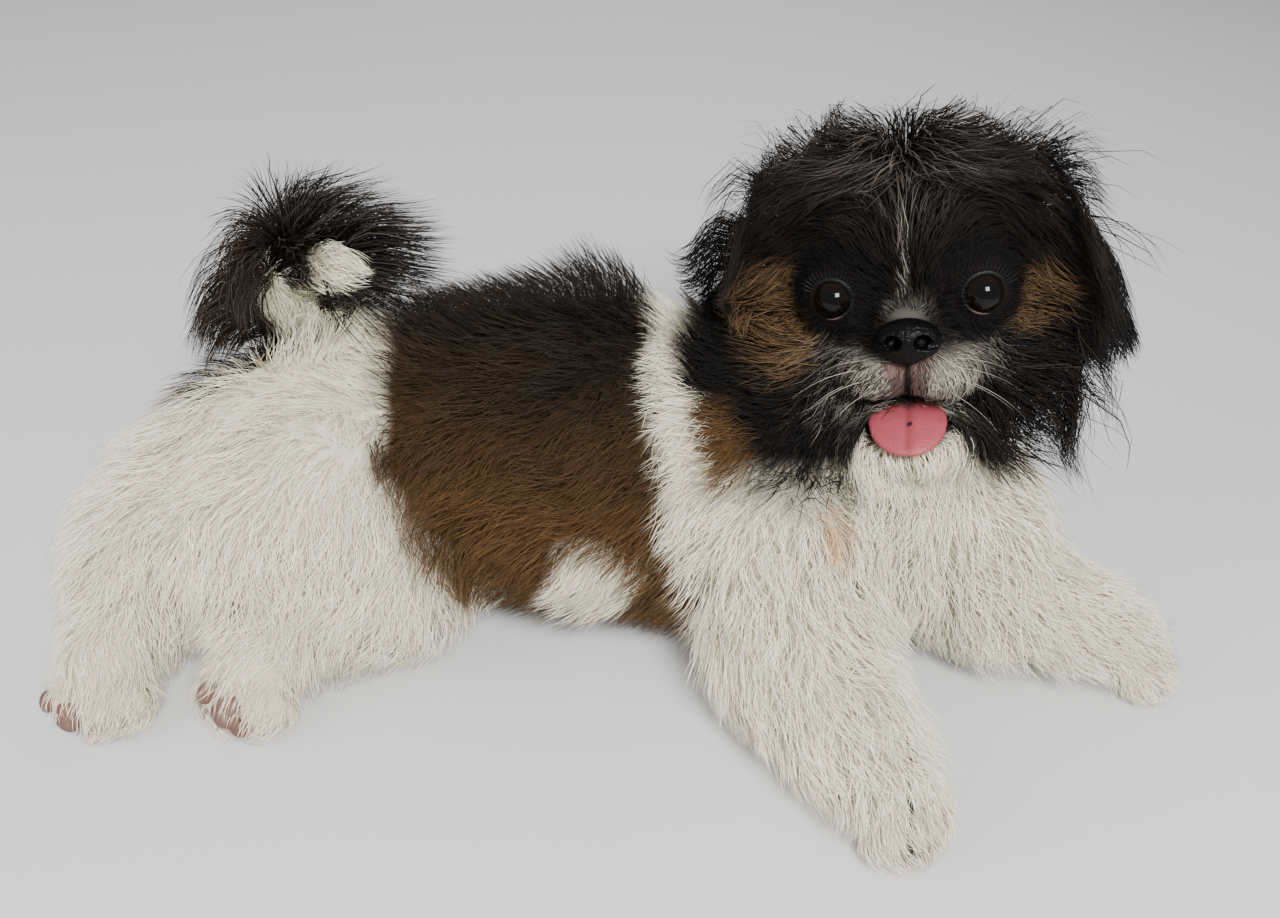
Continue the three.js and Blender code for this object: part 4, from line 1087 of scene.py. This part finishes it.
def tongueField(p):
    local = (p - tongueAt) @ tongueAxes.T
    groove = tongue["groove"] * bump(local[:, 0], 0, 1.4) * smooth(0, 1.5, local[:, 1]) * smooth(14, 9, local[:, 2])
    return slab(p) + groove


verts, quads = surfaceNet(tongueField, tongueAt - 17, tongueAt + 17, tongue["cell"])
piece = newMesh("tongue_flesh", verts, quads)
local = (verts - tongueAt) @ tongueAxes.T
# The tongue is darker along its middle groove and towards its back: painted shade in the groove and inside the mouth.
hue = mix(np.tile(vec(0.27, 0.048, 0.062), (len(verts), 1)), vec(0.17, 0.03, 0.038), bump(local[:, 0], 0, 0.8) * 0.7)
hue = mix(hue, vec(0.13, 0.025, 0.03), smooth(4, -10, local[:, 2]))
spot = np.hypot(local[:, 0] - 0.6, local[:, 2] - 3.2)
paint(piece, mix(hue, vec(0.02, 0.008, 0.01), smooth(1.1, 0.6, spot)))
finishPiece(piece, wetTongue, "tongue", "tongue")

# Lips, a dark rim round the open mouth, laid on the face where the mouth cuts it.
lips = {"halfWidth": 12.2, "halfHeight": 7.9, "around": 72, "thickness": 1.35}
a = np.linspace(0, 2 * math.pi, lips["around"], endpoint=False)
edge = []
for angle in a:
    l, c = lips["halfWidth"] * math.cos(angle), -37 + lips["halfHeight"] * math.sin(angle)
    fronts = np.arange(62, 10, -0.4)
    ray = head["centre"] + np.stack([np.full_like(fronts, l), np.full_like(fronts, c), fronts], 1) @ headAxes
    hit = np.argmax(wholeFlesh(ray) < 0)
    edge.append((l, c, fronts[hit]))
edge = np.array(edge)
fronts = edge[:, 2]
for _ in range(4):
    fronts = (np.roll(fronts, 1) + fronts + np.roll(fronts, -1)) / 3
edge[:, 2] = fronts
away = unit(np.stack([np.cos(a) / lips["halfWidth"], np.sin(a) / lips["halfHeight"], 0 * a], 1))
b = np.linspace(0, 2 * math.pi, 10, endpoint=False)
thickness = lips["thickness"] * (1 - 0.35 * np.cos(a) ** 2)
tube = away[:, None] * np.cos(b)[None, :, None] + vec(0, 0, 1) * np.sin(b)[None, :, None]
rings = edge[:, None] + tube * thickness[:, None, None]
rings = np.concatenate([rings, rings[:1]])
piece = closeEnds(ringsMesh("lips", head["centre"] + rings @ headAxes))
paint(piece, np.tile(vec(0.012, 0.008, 0.008), (len(piece.data.vertices), 1)))
finishPiece(piece, lipSkin, "bare_skin")
print("nose, tongue and lips made")


# Pads, laid on the soles.
for side in ("right", "left"):
    pads = [ellipsoid(at, radii, axes) for at, radii, axes in padsOf(side)]
    middle = np.mean([at for at, _, _ in padsOf(side)], axis=0)
    verts, quads = surfaceNet(blend(1.2, *pads), middle - 17, middle + 17, 0.8)
    piece = newMesh("pads_" + side, verts, quads)
    shade = 0.5 + 0.5 * wobble(verts, 3.0)
    paint(piece, mix(np.tile(vec(0.17, 0.085, 0.068), (len(verts), 1)), vec(0.07, 0.038, 0.032), shade * 0.6))
    finishPiece(piece, padSkin, "bare_skin")


# Whiskers, lashes and claws are bowed, tapered spikes that stand on points.
def spikeTree():
    tree = bpy.data.node_groups.new("spikesOnPoints", "GeometryNodeTree")
    for name, kind, value in (
        ("Geometry", "NodeSocketGeometry", None), ("Length", "NodeSocketFloat", 0.02),
        ("Thickness", "NodeSocketFloat", 0.0002), ("Bow", "NodeSocketFloat", 0.2),
        ("Unevenness", "NodeSocketFloat", 0.2), ("Seed", "NodeSocketInt", 1),
        ("Material", "NodeSocketMaterial", None),
    ):
        entry = tree.interface.new_socket(name, in_out="INPUT", socket_type=kind)
        if value is not None:
            entry.default_value = value
    tree.interface.new_socket("Geometry", in_out="OUTPUT", socket_type="NodeSocketGeometry")
    nodes, links = tree.nodes, tree.links

    def add(kind, **settings):
        node = nodes.new(kind)
        for key, value in settings.items():
            setattr(node, key, value)
        return node

    def times(a, b):
        product = add("ShaderNodeMath", operation="MULTIPLY")
        for socket, value in zip(product.inputs, (a, b)):
            if isinstance(value, float):
                socket.default_value = value
            else:
                links.new(value, socket)
        return product.outputs[0]

    given, out = nodes.new("NodeGroupInput"), nodes.new("NodeGroupOutput")
    length = given.outputs["Length"]
    line = add("GeometryNodeCurveQuadraticBezier")
    line.inputs["Resolution"].default_value = 7
    line.inputs["Start"].default_value = (0, 0, 0)
    middle, tip = add("ShaderNodeCombineXYZ"), add("ShaderNodeCombineXYZ")
    links.new(times(length, 0.55), middle.inputs["Z"])
    links.new(times(length, 0.95), tip.inputs["Z"])
    links.new(times(length, given.outputs["Bow"]), tip.inputs["X"])
    links.new(middle.outputs[0], line.inputs["Middle"])
    links.new(tip.outputs[0], line.inputs["End"])
    along = add("GeometryNodeSplineParameter")
    taper = add("ShaderNodeMapRange", interpolation_type="SMOOTHSTEP")
    taper.inputs["To Min"].default_value = 1.0
    taper.inputs["To Max"].default_value = 0.12
    links.new(along.outputs["Factor"], taper.inputs["Value"])
    ring = add("GeometryNodeCurvePrimitiveCircle")
    ring.inputs["Resolution"].default_value = 7
    links.new(times(given.outputs["Thickness"], 0.5), ring.inputs["Radius"])
    spike = add("GeometryNodeCurveToMesh")
    spike.inputs["Fill Caps"].default_value = True
    links.new(line.outputs[0], spike.inputs["Curve"])
    links.new(ring.outputs["Curve"], spike.inputs["Profile Curve"])
    links.new(taper.outputs["Result"], spike.inputs["Scale"])
    turns = []
    for name, axis, pivot in (("aim", "Z", "AUTO"), ("bow", "X", "Z")):
        direction = add("GeometryNodeInputNamedAttribute", data_type="FLOAT_VECTOR")
        direction.inputs["Name"].default_value = name
        turn = add("FunctionNodeAlignRotationToVector", axis=axis, pivot_axis=pivot)
        links.new(direction.outputs["Attribute"], turn.inputs["Vector"])
        if turns:
            links.new(turns[-1].outputs[0], turn.inputs["Rotation"])
        turns.append(turn)
    size = add("FunctionNodeRandomValue", data_type="FLOAT")
    smallest = next(socket for socket in size.inputs if socket.identifier == "Min_001")
    least = add("ShaderNodeMath", operation="SUBTRACT")
    least.inputs[0].default_value = 1.0
    links.new(given.outputs["Unevenness"], least.inputs[1])
    links.new(least.outputs[0], smallest)
    links.new(given.outputs["Seed"], size.inputs["Seed"])
    placed = add("GeometryNodeInstanceOnPoints")
    links.new(given.outputs["Geometry"], placed.inputs["Points"])
    links.new(spike.outputs["Mesh"], placed.inputs["Instance"])
    links.new(turns[-1].outputs[0], placed.inputs["Rotation"])
    links.new(size.outputs[1], placed.inputs["Scale"])
    real, coloured = add("GeometryNodeRealizeInstances"), add("GeometryNodeSetMaterial")
    links.new(placed.outputs[0], real.inputs["Geometry"])
    links.new(real.outputs[0], coloured.inputs["Geometry"])
    links.new(given.outputs["Material"], coloured.inputs["Material"])
    links.new(coloured.outputs[0], out.inputs["Geometry"])
    return tree


spikes = spikeTree()


def growSpikes(name, points, aims, bows, values, material, colour):
    mesh = bpy.data.meshes.new(name + "_points")
    mesh.from_pydata([tuple(p / 1000) for p in points], [], [])
    for key, directions in (("aim", aims), ("bow", bows)):
        layer = mesh.attributes.new(key, "FLOAT_VECTOR", "POINT")
        layer.data.foreach_set("vector", np.asarray(directions, float).ravel())
    holder = bpy.data.objects.new(name + "_points", mesh)
    bpy.context.scene.collection.objects.link(holder)
    modifier = holder.modifiers.new("spikes", "NODES")
    modifier.node_group = spikes
    sockets = {item.name: item.identifier for item in spikes.interface.items_tree if item.in_out == "INPUT"}
    for key, value in values.items():
        modifier[sockets[key]] = value
    modifier[sockets["Material"]] = material
    evaluated = holder.evaluated_get(bpy.context.evaluated_depsgraph_get())
    plain = bpy.data.meshes.new_from_object(evaluated)
    holder.modifiers.remove(modifier)
    bpy.data.objects.remove(holder)
    piece = bpy.data.objects.new(name, plain)
    bpy.context.scene.collection.objects.link(piece)
    for key in ("aim", "bow"):
        if key in plain.attributes:
            plain.attributes.remove(plain.attributes[key])
    plain.shade_smooth()
    paint(piece, np.tile(colour, (len(plain.vertices), 1)))
    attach(piece, "root")
    return piece


def faceStart(left, crown):  # the place on the face straight behind a place in front of it
    ray = head["centre"] + np.stack([vec(left, crown, f) @ headAxes for f in np.arange(66, 10, -0.3)])
    return ray[np.argmax(wholeFlesh(ray) < 0)]


whiskers = {"Length": 0.021, "Thickness": 0.00017, "Bow": 0.3, "Unevenness": 0.35, "Seed": 3}
places, aims, bows = [], [], []
for s in (1, -1):
    for left, crown, rise in (
        (12, -17, 0.15), (15, -20, 0.0), (13, -23, -0.15), (17, -25, -0.25), (11, -27, -0.4), (15, -28, -0.5),
    ):
        places.append(faceStart(s * left, crown))
        aims.append(unit(leftward * s + crownward * rise + ahead * 0.55))
        bows.append(-crownward - ahead * 0.3)
growSpikes("whiskers", places, aims, bows, whiskers, stiffHair, vec(0.36, 0.33, 0.28))
lashes = {"Length": 0.0042, "Thickness": 0.00034, "Bow": 0.45, "Unevenness": 0.3, "Seed": 5}
for side in ("left", "right"):
    facing = facingOf(side)
    across = unit(np.cross(crownward, facing))
    upward = np.cross(facing, across)
    angles = np.linspace(0.12, 0.88, 17) * math.pi
    places = [eyes[side] + across * 6.7 * math.cos(a) + upward * 6.5 * math.sin(a) + facing * 3.4 for a in angles]
    aims = [unit(across * math.cos(a) + upward * math.sin(a) + facing * 1.1) for a in angles]
    bows = [-facing + upward * 0.2] * len(angles)
    growSpikes("lashes_" + side, places, aims, bows, lashes, stiffHair, vec(0.006, 0.005, 0.005))
claws = {"Length": 0.0062, "Thickness": 0.0026, "Bow": 0.4, "Unevenness": 0.12, "Seed": 9}
for name, wrist, end in (
    ("fore_right", "rightWrist", "rightPaw"), ("fore_left", "leftWrist", "leftPaw"),
    ("hind_right", "rightHock", "rightToes"), ("hind_left", "leftHock", "leftToes"),
):
    along = unit((J[end] - J[wrist]) * vec(1, 1, 0))
    across = np.cross(along, up)
    tips = [J[end] + along * (15.6 - 2.2 * abs(i)) + across * i * 6.2 for i in (-1.5, -0.5, 0.5, 1.5)]
    for tip in tips:
        tip[2] = 8.2
    aims = [unit(along + vec(0, 0, -0.15))] * 4
    bows = [vec(0, 0, -1)] * 4
    growSpikes("claws_" + name, tips, aims, bows, claws, horn, vec(0.20, 0.15, 0.115))
print("pads, whiskers, lashes and claws made")


# Camera, light and floor.
view = {"place": (0.035, -0.285, 0.285), "pitch": 39.3, "roll": 5.5, "focal": 1060, "frameWidth": 1280}
pitch, roll = math.radians(view["pitch"]), math.radians(view["roll"])
sight = Vector((0, math.cos(pitch), -math.sin(pitch)))
level = Vector((1, 0, 0))
upright = Vector((0, math.sin(pitch), math.cos(pitch)))
camRight = math.cos(roll) * level + math.sin(roll) * upright
camUp = -math.sin(roll) * level + math.cos(roll) * upright
camera = bpy.data.objects.new("camera", bpy.data.cameras.new("camera"))
camera.data.sensor_width = 36
camera.data.lens = view["focal"] / view["frameWidth"] * 36
camera.data.clip_start = 0.01
camera.matrix_world = Matrix(
    [[camRight[i], camUp[i], -sight[i], view["place"][i]] for i in range(3)] + [[0, 0, 0, 1]]
)
bpy.context.scene.collection.objects.link(camera)
bpy.context.scene.camera = camera


def softLight(name, place, aim, size, power, shinesInEyes):
    light = bpy.data.lights.new(name, "AREA")
    light.size = size
    light.energy = power
    lamp = bpy.data.objects.new(name, light)
    lamp.visible_glossy = shinesInEyes  # one catchlight in each eye, from the key light
    lamp.location = place
    lamp.rotation_euler = (Vector(aim) - Vector(place)).to_track_quat("-Z", "Y").to_euler()
    bpy.context.scene.collection.objects.link(lamp)


softLight("keyLight", (0.25, -0.65, 0.85), (0.05, 0, 0.05), 0.35, 23, True)
softLight("fillLight", (-0.8, -0.4, 0.6), (0, 0, 0.06), 0.6, 6, False)
softLight("backLight", (0.1, 0.8, 0.7), (0.05, 0, 0.1), 0.6, 2.5, False)
world = bpy.data.worlds.new("studio")
world.use_nodes = True
world.node_tree.nodes["Background"].inputs["Color"].default_value = (0.95, 0.95, 0.96, 1)
world.node_tree.nodes["Background"].inputs["Strength"].default_value = 0.6
bpy.context.scene.world = world

floorCorners = np.array([(x, y, -0.1) for x, y in ((-3000, -3000), (3000, -3000), (3000, 3000), (-3000, 3000))])
floor = newMesh("floor", floorCorners, np.array([[0, 1, 2, 3]]))
floorMaterial, nodes, links, shader = newMaterial("paleFloor", 0.7)
shader.inputs["Base Color"].default_value = (0.52, 0.52, 0.52, 1)
floor.data.materials.append(floorMaterial)
